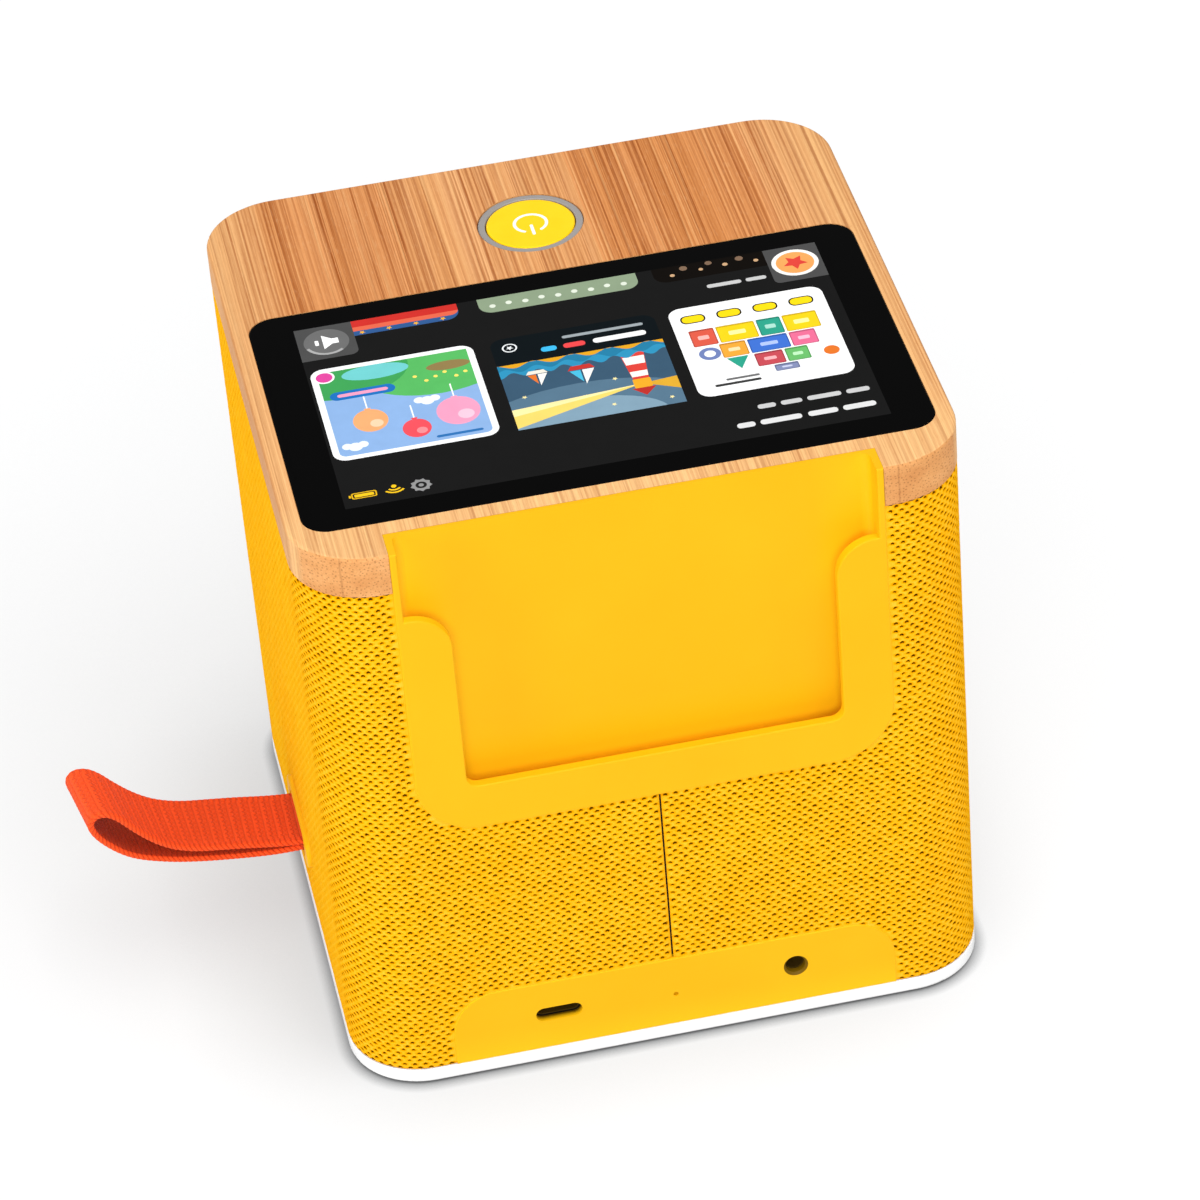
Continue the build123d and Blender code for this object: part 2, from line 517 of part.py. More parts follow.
lower = [(63.5, 19.08), (69.0, 19.10), (77.1, 19.85), (85.1, 20.95), (91.5, 22.35), (98.0, 24.8), (102.6, 28.7), (104.9, 32.2)]
upper = [(105.1, 34.5), (103.8, 35.85), (101.7, 35.75), (99.6, 34.3), (97.2, 31.6), (94.2, 28.5), (91.0, 26.0), (88.0, 24.5), (84.5, 23.45), (80.0, 22.75), (74.8, 22.0), (68.5, 20.95), (63.5, 20.42)]
mid = Spline(*[(x, z) for x, z in lower + upper])
N = 44
out_pts, in_pts = [], []
for k in range(N + 1):
    u = k / N
    p = mid @ u
    t = mid % u
    nx, nz = t.Y, -t.X
    out_pts.append((p.X + nx * ST_T / 2, p.Y + nz * ST_T / 2))
    in_pts.append((p.X - nx * ST_T / 2, p.Y - nz * ST_T / 2))
# the band is the region inside its outer line, less the open loop between its
# two layers, which lie together from the slot to LOOP_X; each line is a chain of arcs
LOOP_X = 68.0


def arc_face(pts):
    edges = [ThreePointArc(pts[i], pts[i + 1], pts[i + 2]) for i in range(0, len(pts) - 2, 2)]
    return make_face(Wire(edges + [Line(pts[-1], pts[0])]))


loop_pts = [q for q in in_pts if q[0] > LOOP_X]
if len(loop_pts) % 2 == 0:
    loop_pts = loop_pts[:-1]
band = arc_face(out_pts)
band -= arc_face(loop_pts)
print("strap band area", round(band.area, 1), "of about", round(mid.length * ST_T, 1))
web = ext_y(band, -ST_W / 2, ST_W / 2)
web += cyl_y(ST_PX, ST_PZ, -ST_W / 2, ST_W / 2, ST_T)
print("strap webbing path", round(mid.length, 1))
save("strap_webbing", web)

BAR_X = 54.2
tail = box(BAR_X, 62.0, -ST_W / 2, ST_W / 2, ST_PZ - ST_T, ST_PZ + ST_T) + cyl_y(BAR_X, ST_PZ, -ST_W / 2, ST_W / 2, 3.05)
tail -= cyl_y(BAR_X, ST_PZ, -ST_W, ST_W, 1.65)
save("strap_tail", tail)
save("strap_anchor_bar", cyl_y(BAR_X, ST_PZ, -10.9, 10.9, 1.55))
br = None
for s in (-1, 1):
    y0, y1 = sorted((s * 8.4, s * 10.7))
    f0, f1 = sorted((s * 8.4, s * 17.6))
    c = box(50.6, 58.6, y0, y1, 14.6, 24.9) + box(57.0, 58.6, f0, f1, 14.6, 24.9)
    br = c if br is None else br + c
br += box(50.6, 58.6, -10.7, 10.7, 13.2, 14.7)
br -= cyl_y(BAR_X, ST_PZ, -12, 12, 1.6)
for y, z in strap_screw_at:
    br -= cyl_x(y, z, 56, 60, 1.3)
save("strap_bracket", br)
save_group("strap_screws", [cyl_x(y, z, 55.5, 56.95, 2.1) + cyl_x(y, z, 56.9, 60.2, 1.0) - box(55.4, 55.9, y - 1.2, y + 1.2, z - 0.2, z + 0.2) for y, z in strap_screw_at])
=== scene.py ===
import math

import bpy
import numpy as np
from mathutils import Matrix, Vector
from mathutils.geometry import delaunay_2d_cdt


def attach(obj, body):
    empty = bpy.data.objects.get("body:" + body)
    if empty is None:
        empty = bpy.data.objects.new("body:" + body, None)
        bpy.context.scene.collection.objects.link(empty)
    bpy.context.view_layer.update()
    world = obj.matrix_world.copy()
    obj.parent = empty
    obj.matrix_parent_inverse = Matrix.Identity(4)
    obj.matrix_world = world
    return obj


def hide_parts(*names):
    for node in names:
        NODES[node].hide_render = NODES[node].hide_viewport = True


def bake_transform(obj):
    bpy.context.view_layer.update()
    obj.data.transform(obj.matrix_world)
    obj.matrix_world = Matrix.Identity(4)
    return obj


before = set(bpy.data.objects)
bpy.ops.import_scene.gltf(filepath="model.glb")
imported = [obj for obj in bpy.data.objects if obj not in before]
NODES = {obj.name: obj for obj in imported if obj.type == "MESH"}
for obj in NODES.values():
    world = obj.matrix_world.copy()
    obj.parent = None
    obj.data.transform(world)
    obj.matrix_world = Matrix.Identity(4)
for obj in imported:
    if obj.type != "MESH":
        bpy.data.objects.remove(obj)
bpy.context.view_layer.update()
MM = 0.001
scene = bpy.context.scene
rng = np.random.default_rng(7148)

# =============================================================== camera
cam_data = bpy.data.cameras.new("camera")
cam = bpy.data.objects.new("camera", cam_data)
scene.collection.objects.link(cam)
cam_data.sensor_fit = "HORIZONTAL"
cam_data.sensor_width = 36.0
cam_data.lens = 160.83996
cam_data.clip_start, cam_data.clip_end = 0.05, 30.0
RX = Vector((-0.9770537, 0.2014685, -0.0691121))
RY = Vector((0.1746395, 0.5720160, -0.8014354))
RZ = Vector((-0.1219308, -0.7951151, -0.5940748))
rot = Matrix((RX, -RY, -RZ)).transposed().to_4x4()
cam.matrix_world = Matrix.Translation((0.1269384, 0.8369748, 0.6860226)) @ rot
scene.camera = cam

# =============================================================== light and floor
scene.view_settings.view_transform = "Standard"
scene.view_settings.look = "None"
scene.view_settings.exposure = 0.0
scene.view_settings.gamma = 1.0

world = bpy.data.worlds.new("studio")
scene.world = world
world.use_nodes = True
world.node_tree.nodes["Background"].inputs["Color"].default_value = (1.0, 1.0, 1.0, 1.0)
world.node_tree.nodes["Background"].inputs["Strength"].default_value = 0.42


def area_light(name, loc, target, size, power, colour=(1, 1, 1)):
    d = bpy.data.lights.new(name, "AREA")
    d.shape = "DISK"
    d.size = size
    d.energy = power
    d.color = colour
    o = bpy.data.objects.new(name, d)
    scene.collection.objects.link(o)
    o.location = loc
    o.rotation_euler = (Vector(target) - Vector(loc)).to_track_quat("-Z", "Y").to_euler()
    return o


area_light("key", (-0.50, 0.52, 1.40), (0, 0, 0.06), 0.8, 9.2)
area_light("top", (-0.05, -0.30, 1.6), (0, 0, 0.06), 1.2, 4.0)
area_light("front", (0.25, 1.55, 0.95), (0, 0, 0.06), 0.8, 16.1)
# the two low lamps only fill the sides: their mirror image would veil the display in low views
area_light("side", (1.5, 0.35, 0.55), (0, 0, 0.06), 0.8, 9.3).visible_glossy = False
area_light("rear", (0.20, -1.60, 0.36), (0, 0, 0.06), 0.9, 7.5).visible_glossy = False


# =============================================================== node helpers
class Mat:
    """One Principled material, with short calls for its nodes."""

    def __init__(self, name, **sockets):
        self.m = bpy.data.materials.new(name)
        self.m.use_nodes = True
        self.t = self.m.node_tree
        self.t.nodes.clear()
        self.out = self.t.nodes.new("ShaderNodeOutputMaterial")
        self.b = self.t.nodes.new("ShaderNodeBsdfPrincipled")
        self.t.links.new(self.b.outputs[0], self.out.inputs[0])
        self.set(**sockets)

    def set(self, **sockets):
        for k, v in sockets.items():
            self.put(self.b, k.replace("_", " "), v)

    def put(self, node, key, v):
        s = node.inputs[key]
        if isinstance(v, bpy.types.NodeSocket):
            self.t.links.new(v, s)
        else:
            if isinstance(v, (tuple, list)) and len(v) == 3 and len(getattr(s, "default_value", [0] * 3)) == 4:
                v = (*v, 1.0)
            s.default_value = v

    def node(self, kind, ins=None, out=0, **props):
        n = self.t.nodes.new(kind)
        for k, v in props.items():
            setattr(n, k, v)
        for k, v in (ins or {}).items():
            self.put(n, k, v)
        return n.outputs[out]

    def pos(self):
        return self.node("ShaderNodeTexCoord", out="Object")

    def attr(self, name, out="Fac"):
        return self.node("ShaderNodeAttribute", out=out, attribute_name=name)

    def normal(self):
        return self.node("ShaderNodeNewGeometry", out="Normal")

    def xyz(self, v):
        n = self.t.nodes.new("ShaderNodeSeparateXYZ")
        self.put(n, 0, v)
        return n.outputs

    def rgb(self, c):
        n = self.t.nodes.new("ShaderNodeSeparateColor")
        self.put(n, 0, c)
        return n.outputs

    def vec(self, x, y, z):
        return self.node("ShaderNodeCombineXYZ", {0: x, 1: y, 2: z})

    def math(self, op, a, b=0.0, c=0.0, clamp=False):
        n = self.t.nodes.new("ShaderNodeMath")
        n.operation = op
        n.use_clamp = clamp
        self.put(n, 0, a)
        self.put(n, 1, b)
        self.put(n, 2, c)
        return n.outputs[0]

    def scale(self, v, s):
        return self.node("ShaderNodeVectorMath", {0: v, 1: s}, operation="MULTIPLY")

    def add(self, v, s):
        return self.node("ShaderNodeVectorMath", {0: v, 1: s}, operation="ADD")

    def noise(self, v, scale=1.0, detail=3.0, rough=0.5, dist=0.0):
        return self.node("ShaderNodeTexNoise", {"Vector": v, "Scale": scale, "Detail": detail, "Roughness": rough, "Distortion": dist}, out=0)

    def voronoi(self, v, scale=1.0, random=1.0, out="Distance", feature="F1"):
        return self.node("ShaderNodeTexVoronoi", {"Vector": v, "Scale": scale, "Randomness": random}, out=out, feature=feature)

    def ramp(self, fac, stops, interp="LINEAR"):
        n = self.t.nodes.new("ShaderNodeValToRGB")
        r = n.color_ramp
        r.interpolation = interp
        while len(r.elements) < len(stops):
            r.elements.new(0.5)
        for e, (p, c) in zip(r.elements, stops):
            e.position = p
            e.color = (c, c, c, 1.0) if isinstance(c, (int, float)) else (*c[:3], 1.0)
        self.put(n, 0, fac)
        return n.outputs[0]

    def range(self, v, a, b, c=0.0, d=1.0, smooth=False):
        n = self.t.nodes.new("ShaderNodeMapRange")
        n.interpolation_type = "SMOOTHSTEP" if smooth else "LINEAR"
        for k, x in zip(("Value", "From Min", "From Max", "To Min", "To Max"), (v, a, b, c, d)):
            self.put(n, k, x)
        return n.outputs[0]

    def mix(self, fac, a, b, kind="MIX"):
        n = self.t.nodes.new("ShaderNodeMix")
        n.data_type = "RGBA"
        n.blend_type = kind
        self.put(n, 0, fac)
        self.put(n, 6, a)
        self.put(n, 7, b)
        return n.outputs[2]

    def bump(self, height, strength=0.5, distance=0.0002, normal=None):
        ins = {"Height": height, "Strength": strength, "Distance": distance}
        if normal is not None:
            ins["Normal"] = normal
        return self.node("ShaderNodeBump", ins)


def lin(h):
    """sRGB hex to linear."""
    h = h.lstrip("#")
    out = []
    for i in (0, 2, 4):
        c = int(h[i:i + 2], 16) / 255.0
        out.append(c / 12.92 if c <= 0.04045 else ((c + 0.055) / 1.055) ** 2.4)
    return tuple(out)


def tint(c, k):
    return tuple(min(1.0, max(0.0, x * k)) for x in c)


def moulded(name, colour, rough=0.42, spec=0.35, grain=2600.0, depth=0.00003, vary=0.03, coat=0.0):
    """Spark-eroded moulded plastic: fine grain, slight mottling, roughness that wanders."""
    m = Mat(name)
    p = m.pos()
    broad = m.noise(p, 45.0, 3.0, 0.55)
    fine = m.noise(p, grain, 2.0, 0.6)
    m.set(Base_Color=m.mix(m.range(broad, 0.3, 0.7), tint(colour, 1 - vary), tint(colour, 1 + vary)),
          Roughness=m.range(m.noise(p, 400.0, 3.0, 0.6), 0.25, 0.75, rough - 0.05, rough + 0.07),
          Specular_IOR_Level=spec, Normal=m.bump(fine, 0.35, depth))
    if coat:
        m.set(Coat_Weight=coat, Coat_Roughness=0.12)
    return m.m


def metal(name, colour, rough=0.3, stretch=(60.0, 60.0, 2400.0)):
    m = Mat(name, Metallic=1.0)
    p = m.pos()
    b = m.noise(m.scale(p, stretch), 1.0, 4.0, 0.6)
    m.set(Base_Color=m.mix(m.range(b, 0.3, 0.7), tint(colour, 0.86), tint(colour, 1.06)),
          Roughness=m.range(b, 0.2, 0.8, rough - 0.08, rough + 0.12), Normal=m.bump(b, 0.25, 0.00002))
    return m.m


YEL = lin("#FFC012")
YEL_PLASTIC = (0.98, 0.520, 0.010)


# =============================================================== materials
def mat_yellow():
    m = Mat("dock_yellow")
    p = m.pos()
    x, y, z = m.xyz(p)
    broad = m.noise(p, 38.0, 3.0, 0.5)
    fine = m.noise(p, 3000.0, 2.0, 0.6)
    col = m.mix(m.range(broad, 0.3, 0.7), (0.80, 0.414, 0.0020), (0.83, 0.436, 0.0035))
    # painted shade: the walls inside the port slot and the jack hole are painted dark, as they lie in shade
    ux = m.range(m.math("ABSOLUTE", m.math("SUBTRACT", x, 0.0229)), 0.0046, 0.0048, 1.0, 0.0)
    uz = m.range(m.math("ABSOLUTE", m.math("SUBTRACT", z, 0.0120)), 0.00165, 0.0018, 1.0, 0.0)
    slot = m.math("MULTIPLY", m.math("MULTIPLY", ux, uz), m.range(y, 0.0612, 0.06248, 0.94, 0.0))
    # painted shade: the bevel round the jack hole is painted as a dark ring
    jx = m.math("ADD", x, 0.0238)
    jz = m.math("SUBTRACT", z, 0.01245)
    jr = m.math("SQRT", m.math("ADD", m.math("MULTIPLY", jx, jx), m.math("MULTIPLY", jz, jz)))
    ring = m.math("MULTIPLY", m.range(jr, 0.00236, 0.00246, 0.90, 0.0), m.range(y, 0.0600, 0.0604, 0.0, 1.0))
    # the painted shade colour for the slot walls, the jack hole and its bevel
    col = m.mix(m.math("MAXIMUM", slot, ring), col, (0.060, 0.030, 0.001))
    # painted light: inside corners, found by the occlusion node, are painted paler to offset their shade
    ao = m.t.nodes.new("ShaderNodeAmbientOcclusion")
    ao.samples = 6
    m.put(ao, "Distance", 0.011)
    lift = m.range(ao.outputs["AO"], 0.98, 0.50, 0.0, 0.90)
    keep = m.math("SUBTRACT", 1.0, m.math("MAXIMUM", slot, ring))
    col = m.mix(m.math("MULTIPLY", lift, keep), col, (0.98, 0.560, 0.0060))
    m.set(Base_Color=col,
          Roughness=m.range(m.noise(p, 500.0, 3.0, 0.6), 0.25, 0.75, 0.42, 0.54),
          Specular_IOR_Level=0.12, Normal=m.bump(fine, 0.35, 0.00003))
    return m.m


def mat_bamboo():
    m = Mat("bamboo")
    p = m.pos()
    x, y, z = m.xyz(p)
    WIDE = 0.0205
    wob = m.math("MULTIPLY", m.math("SUBTRACT", m.noise(m.vec(0.0, m.math("MULTIPLY", y, 11.0), m.math("MULTIPLY", x, 25.0)), 1.0, 1.0), 0.5), 0.0007)
    xs = m.math("ADD", x, wob)
    cell = m.math("DIVIDE", m.math("ADD", xs, 0.1302), WIDE)

    def rand(w, colour=False):
        n = m.t.nodes.new("ShaderNodeTexWhiteNoise")
        n.noise_dimensions = "1D"
        m.put(n, "W", w)
        return n.outputs["Color" if colour else "Value"]

    # wide strips glued side by side, every other one dark and dense in fibre
    lam = m.math("DIVIDE", m.math("ADD", xs, 0.1533), 0.0356)
    strip = m.math("FLOOR", lam)
    odd = m.math("MODULO", strip, 2.0)
    tone = rand(strip)
    sh = m.math("MULTIPLY", tone, 3.7)
    yl = m.math("ADD", y, sh)
    dark = m.math("ADD", m.math("MULTIPLY", odd, 0.72), m.math("MULTIPLY", tone, 0.28))

    def run(fx, fy, detail=2.0, rough=0.5, fz=0.0):
        return m.noise(m.vec(m.math("MULTIPLY", xs, fx), m.math("MULTIPLY", yl, fy), m.math("MULTIPLY", z, fz) if fz else sh), 1.0, detail, rough)

    def ridge(n, lo, hi):
        """Thin lines where the noise crosses its middle."""
        return m.range(m.math("ABSOLUTE", m.math("SUBTRACT", n, 0.5)), lo, hi, 1.0, 0.0, True)

    def lines(per_m, lo, hi, seed):
        """Straight fibre bundles of even width, each with its own strength, fading along their run."""
        w = m.math("ADD", m.math("MULTIPLY", xs, per_m), seed)
        v = m.t.nodes.new("ShaderNodeTexVoronoi")
        v.voronoi_dimensions = "1D"
        m.put(v, "W", w)
        m.put(v, "Scale", 1.0)
        m.put(v, "Randomness", 0.92)
        r, g, b = m.rgb(v.outputs["Color"])
        along = m.noise(m.vec(m.math("MULTIPLY", r, 60.0), m.math("MULTIPLY", yl, 26.0), seed), 1.0, 2.0, 0.5)
        core = m.range(v.outputs["Distance"], lo, m.math("ADD", 0.6 * hi, m.math("MULTIPLY", g, 0.8 * hi)), 1.0, 0.0, True)
        return m.math("MULTIPLY", m.math("MULTIPLY", core, m.math("POWER", r, 0.7)), m.range(along, 0.30, 0.56, 0.30, 1.0, True))

    wide = run(130.0, 1.6, 3.0, 0.6)
    base = m.ramp(wide, [(0.28, lin("#D6965B")), (0.44, lin("#DFA066")), (0.58, lin("#E6AA72")), (0.76, lin("#EEB680"))])
    base = m.mix(m.math("MULTIPLY", dark, 0.60), base, lin("#F3D6BE"), "MULTIPLY")
    band = m.range(run(62.0, 1.0, 1.0), 0.52, 0.70, 0.0, 1.0, True)
    base = m.mix(m.math("MULTIPLY", band, 0.16), base, lin("#BC7440"))
    # paler towards the side edges and the +Y edge, with fewer lines there
    ax = m.math("ABSOLUTE", x)
    pale = m.math("MAXIMUM", m.range(ax, 0.046, 0.060, 0.0, 0.70, True), m.range(y, 0.026, 0.052, 0.0, 1.0, True))
    base = m.mix(pale, base, m.mix(0.72, base, lin("#F8CB8C")))
    strong = lines(560.0, 0.06, 0.20, 3.7)
    second = lines(830.0, 0.08, 0.26, 11.3)
    third = lines(1180.0, 0.10, 0.32, 17.1)
    soft = lines(300.0, 0.05, 0.30, 23.9)
    faint = ridge(run(2100.0, 6.0, 2.0, 0.6), 0.01, 0.09)
    group = m.range(m.noise(m.vec(m.math("MULTIPLY", xs, 150.0), 0.0, 0.0), 1.0, 1.0), 0.38, 0.58, 0.10, 1.0, True)
    fine = lines(2100.0, 0.10, 0.34, 29.5)
    dens = m.math("MULTIPLY", m.range(dark, 0.1, 0.9, 0.72, 1.0, True), m.math("MULTIPLY_ADD", group, 0.65, 0.45))
    dens = m.math("MULTIPLY", dens, m.math("SUBTRACT", 1.0, m.math("MULTIPLY", pale, 0.60)))
    col = m.mix(m.math("MULTIPLY", soft, 0.24), base, lin("#BC7238"))
    col = m.mix(m.math("MULTIPLY", m.math("MULTIPLY", strong, dens), 1.0, clamp=True), col, lin("#884114"))
    col = m.mix(m.math("MULTIPLY", m.math("MULTIPLY", second, dens), 1.0, clamp=True), col, lin("#954C1A"))
    col = m.mix(m.math("MULTIPLY", m.math("MULTIPLY", third, dens), 0.90), col, lin("#9B5220"))
    col = m.mix(m.math("MULTIPLY", m.math("MULTIPLY", fine, dens), 0.66), col, lin("#9C5320"))
    col = m.mix(m.math("MULTIPLY", faint, 0.22), col, lin("#B57240"))
    lite = m.range(run(1300.0, 9.0, 2.0, 0.6, 700.0), 0.56, 0.72, 0.0, 1.0)
    col = m.mix(m.math("MULTIPLY", lite, 0.40), col, lin("#F5C285"))
    fleck = m.noise(m.vec(m.math("MULTIPLY", xs, 3400.0), m.math("MULTIPLY", yl, 420.0), m.math("MULTIPLY", z, 2000.0)), 1.0, 2.0, 0.6)
    col = m.mix(m.math("MULTIPLY", m.range(fleck, 0.56, 0.74), 0.10), col, lin("#FBD5A6"))
    col = m.mix(m.math("MULTIPLY", m.range(fleck, 0.28, 0.42, 1.0, 0.0), 0.16), col, lin("#A05E2E"))
    # end grain on the front and back faces: bundles of fibre cut across, and glue lines
    nx, ny, nz = m.xyz(m.normal())
    ev = m.vec(m.math("MULTIPLY", xs, 1000.0), m.math("MULTIPLY", z, 1000.0), 0.0)
    vo = m.t.nodes.new("ShaderNodeTexVoronoi")
    vo.voronoi_dimensions = "2D"
    m.put(vo, "Vector", ev)
    m.put(vo, "Scale", 1.30)
    m.put(vo, "Randomness", 0.78)
    dist = vo.outputs["Distance"]
    en = m.noise(ev, 0.35, 2.0)
    size = m.range(en, 0.3, 0.7, 0.16, 0.27)
    dot = m.range(m.math("DIVIDE", dist, size), 0.45, 1.15, 1.0, 0.0, True)
    eb = m.ramp(m.noise(m.vec(m.math("MULTIPLY", xs, 110.0), 0.0, m.math("MULTIPLY", z, 190.0)), 1.0, 3.0, 0.55),
                [(0.3, lin("#CB8C54")), (0.5, lin("#D99D62")), (0.7, lin("#E8AE74"))])
    grit = m.noise(m.scale(p, (3000.0, 1.0, 3000.0)), 1.0, 2.0, 0.6)
    eb = m.mix(m.math("MULTIPLY", m.range(grit, 0.38, 0.62), 0.35), eb, lin("#C17E48"))
    end = m.mix(m.math("MULTIPLY", dot, 0.52), eb, lin("#8A5830"))
    fr = m.math("FRACT", cell)
    zw = m.math("MULTIPLY", m.math("SUBTRACT", m.noise(m.vec(0.0, 0.0, m.math("MULTIPLY", z, 420.0)), 1.0, 2.0), 0.5), 0.02)
    frw = m.math("ADD", fr, zw)
    near = m.math("MINIMUM", frw, m.math("SUBTRACT", 1.0, frw))
    gl = m.range(near, 0.002, 0.013, 1.0, 0.0, True)
    end = m.mix(m.math("MULTIPLY", gl, 0.34), end, lin("#8E5A34"))
    is_end = m.range(m.math("ABSOLUTE", ny), 0.40, 0.52, 0.0, 1.0, True)
    col = m.mix(is_end, col, end)
    height = m.math("SUBTRACT", m.math("ADD", m.math("MULTIPLY", fleck, 0.4), 0.6), m.math("MAXIMUM", m.math("MULTIPLY", strong, 0.6), m.math("MULTIPLY", m.math("MULTIPLY", dot, is_end), 0.9)))
    m.set(Base_Color=col, Roughness=m.range(fleck, 0.3, 0.7, 0.62, 0.50), Specular_IOR_Level=0.05,
          Normal=m.bump(height, 0.40, 0.00007))
    return m.m


def mat_knit():
    """Knitted mesh. Attribute tone runs from 0 at the bottom of an eyelet, over its rim, to 1 on the crown of a stitch."""
    m = Mat("knit_yarn")
    k = m.attr("knit", "Vector")          # (along, up, random) in millimetres
    kx, kz, kr = m.xyz(k)
    tone = m.attr("tone")
    # two strands lie side by side on each crown
    strand = m.math("SINE", m.math("MULTIPLY", kx, 2 * math.pi / (2.028 / 6.0)))
    fuzz = m.noise(m.vec(m.math("MULTIPLY", kx, 5.5), m.math("MULTIPLY", kz, 1.6), 0.0), 1.0, 3.0, 0.6)
    patch = m.noise(m.vec(m.math("MULTIPLY", kx, 0.05), m.math("MULTIPLY", kz, 0.05), 3.0), 1.0, 3.0, 0.5)
    t2 = m.math("ADD", tone, m.math("MULTIPLY", m.math("SUBTRACT", fuzz, 0.5), 0.22))
    # ramp on tone: dark in the eyelets, partly the dark backing seen through them and partly painted shade, then
    # painted shade on the rims and a painted highlight on the crowns
    col = m.ramp(t2, [(0.0, lin("#462B00")), (0.18, lin("#643E00")), (0.30, lin("#AA7000")), (0.42, lin("#E29800")),
                      (0.58, lin("#F4AE08")), (0.86, lin("#F5BC28")), (1.0, lin("#F6C843"))])
    col = m.mix(m.math("MULTIPLY", m.range(patch, 0.3, 0.7), 0.10), col, lin("#FFB400"), "MULTIPLY")
    h = m.math("ADD", m.math("MULTIPLY", strand, 0.35), m.math("MULTIPLY", fuzz, 0.65))
    m.set(Base_Color=col, Roughness=m.range(fuzz, 0.2, 0.8, 0.95, 0.76), Specular_IOR_Level=0.0,
          Normal=m.bump(h, 0.5, 0.00010))
    return m.m


def mat_webbing():
    """Ribbed webbing. Attribute web holds (along, across, side) in millimetres; side is 1 on the outer face, -1 on the inner one and 0 on the edges."""
    m = Mat("webbing_yarn")
    s, w, side = m.xyz(m.attr("web", "Vector"))
    RIB, LOOP = 2.2, 1.36
    a = m.math("MULTIPLY", m.math("SUBTRACT", m.math("FRACT", m.math("DIVIDE", s, RIB)), 0.5), RIB)
    b = m.math("MULTIPLY", m.math("SUBTRACT", m.math("FRACT", m.math("DIVIDE", w, LOOP)), 0.5), LOOP)
    # each rib is a row of C-shaped loops
    a2 = m.math("ADD", a, 0.42)
    d = m.math("SQRT", m.math("ADD", m.math("MULTIPLY", a2, a2), m.math("MULTIPLY", b, b)))
    arc = m.range(m.math("ABSOLUTE", m.math("SUBTRACT", d, 0.62)), 0.04, 0.30, 1.0, 0.0, True)
    arc = m.math("MULTIPLY", arc, m.range(a2, -0.12, 0.12, 0.0, 1.0))
    # painted shade in the groove between ribs
    groove_painted_shade = m.math("MULTIPLY", m.range(m.math("ABSOLUTE", a), 0.86, 1.08, 0.0, 1.0, True), 0.60)
    flat = m.math("ABSOLUTE", side)
    # along the edges the yarn turns back, which shows as slanting stitches
    braid = m.math("SINE", m.math("ADD", m.math("MULTIPLY", s, 2 * math.pi / 1.10), m.math("MULTIPLY", m.attr("lift"), 3.4)))
    bd = m.range(braid, -0.9, -0.2, 1.0, 0.0)
    rimw = m.range(m.math("ABSOLUTE", w), 6.35, 6.75, 0.0, 1.0, True)
    # painted shade on the side of each rib away from the light, broken up by the loops
    rib_side_painted_shade = m.math("MULTIPLY", m.range(a, -0.5, 0.9, 0.0, 0.55, True), m.math("MULTIPLY_ADD", m.math("COSINE", m.math("MULTIPLY", b, 2 * math.pi / LOOP)), -0.35, 0.65))
    dark = m.math("MAXIMUM", m.math("MAXIMUM", m.math("MULTIPLY", arc, 0.72), rib_side_painted_shade), groove_painted_shade)
    dark = m.math("MULTIPLY", dark, m.math("SUBTRACT", 1.0, rimw))
    dark = m.math("MAXIMUM", dark, m.math("MULTIPLY", bd, m.math("MULTIPLY", rimw, 0.75)))
    fuzz = m.noise(m.vec(m.math("MULTIPLY", s, 3.2), m.math("MULTIPLY", w, 7.0), side), 1.0, 3.0, 0.6)
    col = m.mix(m.range(fuzz, 0.25, 0.75), lin("#F54714"), lin("#FF602C"))
    # darkens the loop lines and edge stitches, and paints shade in the grooves and on the rib sides
    col = m.mix(m.math("MULTIPLY", dark, 0.44), col, lin("#A8290A"))
    # painted shade on the inner face of the loop
    col = m.mix(m.range(side, -0.9, -0.2, 0.45, 0.0), col, lin("#8A1C06"))
    hgt = m.math("SUBTRACT", m.math("MULTIPLY", fuzz, 0.35), dark)
    m.set(Base_Color=col, Roughness=m.range(fuzz, 0.2, 0.8, 0.9, 0.68), Specular_IOR_Level=0.15,
          Sheen_Weight=0.08, Sheen_Roughness=0.5, Sheen_Tint=(1.0, 0.55, 0.4, 1.0), Normal=m.bump(hgt, 0.8, 0.00030))
    return m.m


def mat_screen():
    m = Mat("printed_glass")
    c = m.node("ShaderNodeAttribute", out="Color", attribute_name="ui")
    p = m.pos()
    cell = m.noise(p, 260.0, 2.0, 0.5)
    smear = m.noise(m.scale(p, (40.0, 90.0, 1.0)), 1.0, 4.0, 0.6)
    m.set(Base_Color=m.mix(m.range(cell, 0.3, 0.7, 0.0, 0.06), c, (0.0, 0.0, 0.0)),
          Roughness=m.range(smear, 0.3, 0.7, 0.05, 0.12), Specular_IOR_Level=0.028)
    return m.m


def mat_cap():
    m = Mat("button_yellow")
    p = m.pos()
    br = m.noise(p, 160.0, 3.0, 0.5)
    m.set(Base_Color=m.mix(m.range(br, 0.3, 0.7), (1.0, 0.595, 0.004), (1.0, 0.630, 0.008)),
          Roughness=m.range(m.noise(p, 900.0, 2.0), 0.25, 0.75, 0.30, 0.40), Specular_IOR_Level=0.15,
          Normal=m.bump(m.noise(p, 3500.0, 2.0), 0.25, 0.00002))
    return m.m


def mat_board():
    m = Mat("solder_mask")
    p = m.pos()
    x, y, z = m.xyz(p)
    tr = m.voronoi(m.scale(p, (260.0, 260.0, 260.0)), 1.0, 0.9, out="Distance", feature="DISTANCE_TO_EDGE")
    trace = m.range(tr, 0.02, 0.06, 1.0, 0.0)
    m.set(Base_Color=m.mix(m.math("MULTIPLY", trace, 0.7), (0.010, 0.100, 0.040), (0.030, 0.230, 0.090)),
          Roughness=m.range(m.noise(p, 300.0), 0.3, 0.7, 0.28, 0.42), Specular_IOR_Level=0.5,
          Normal=m.bump(trace, 0.3, 0.00004))
    return m.m


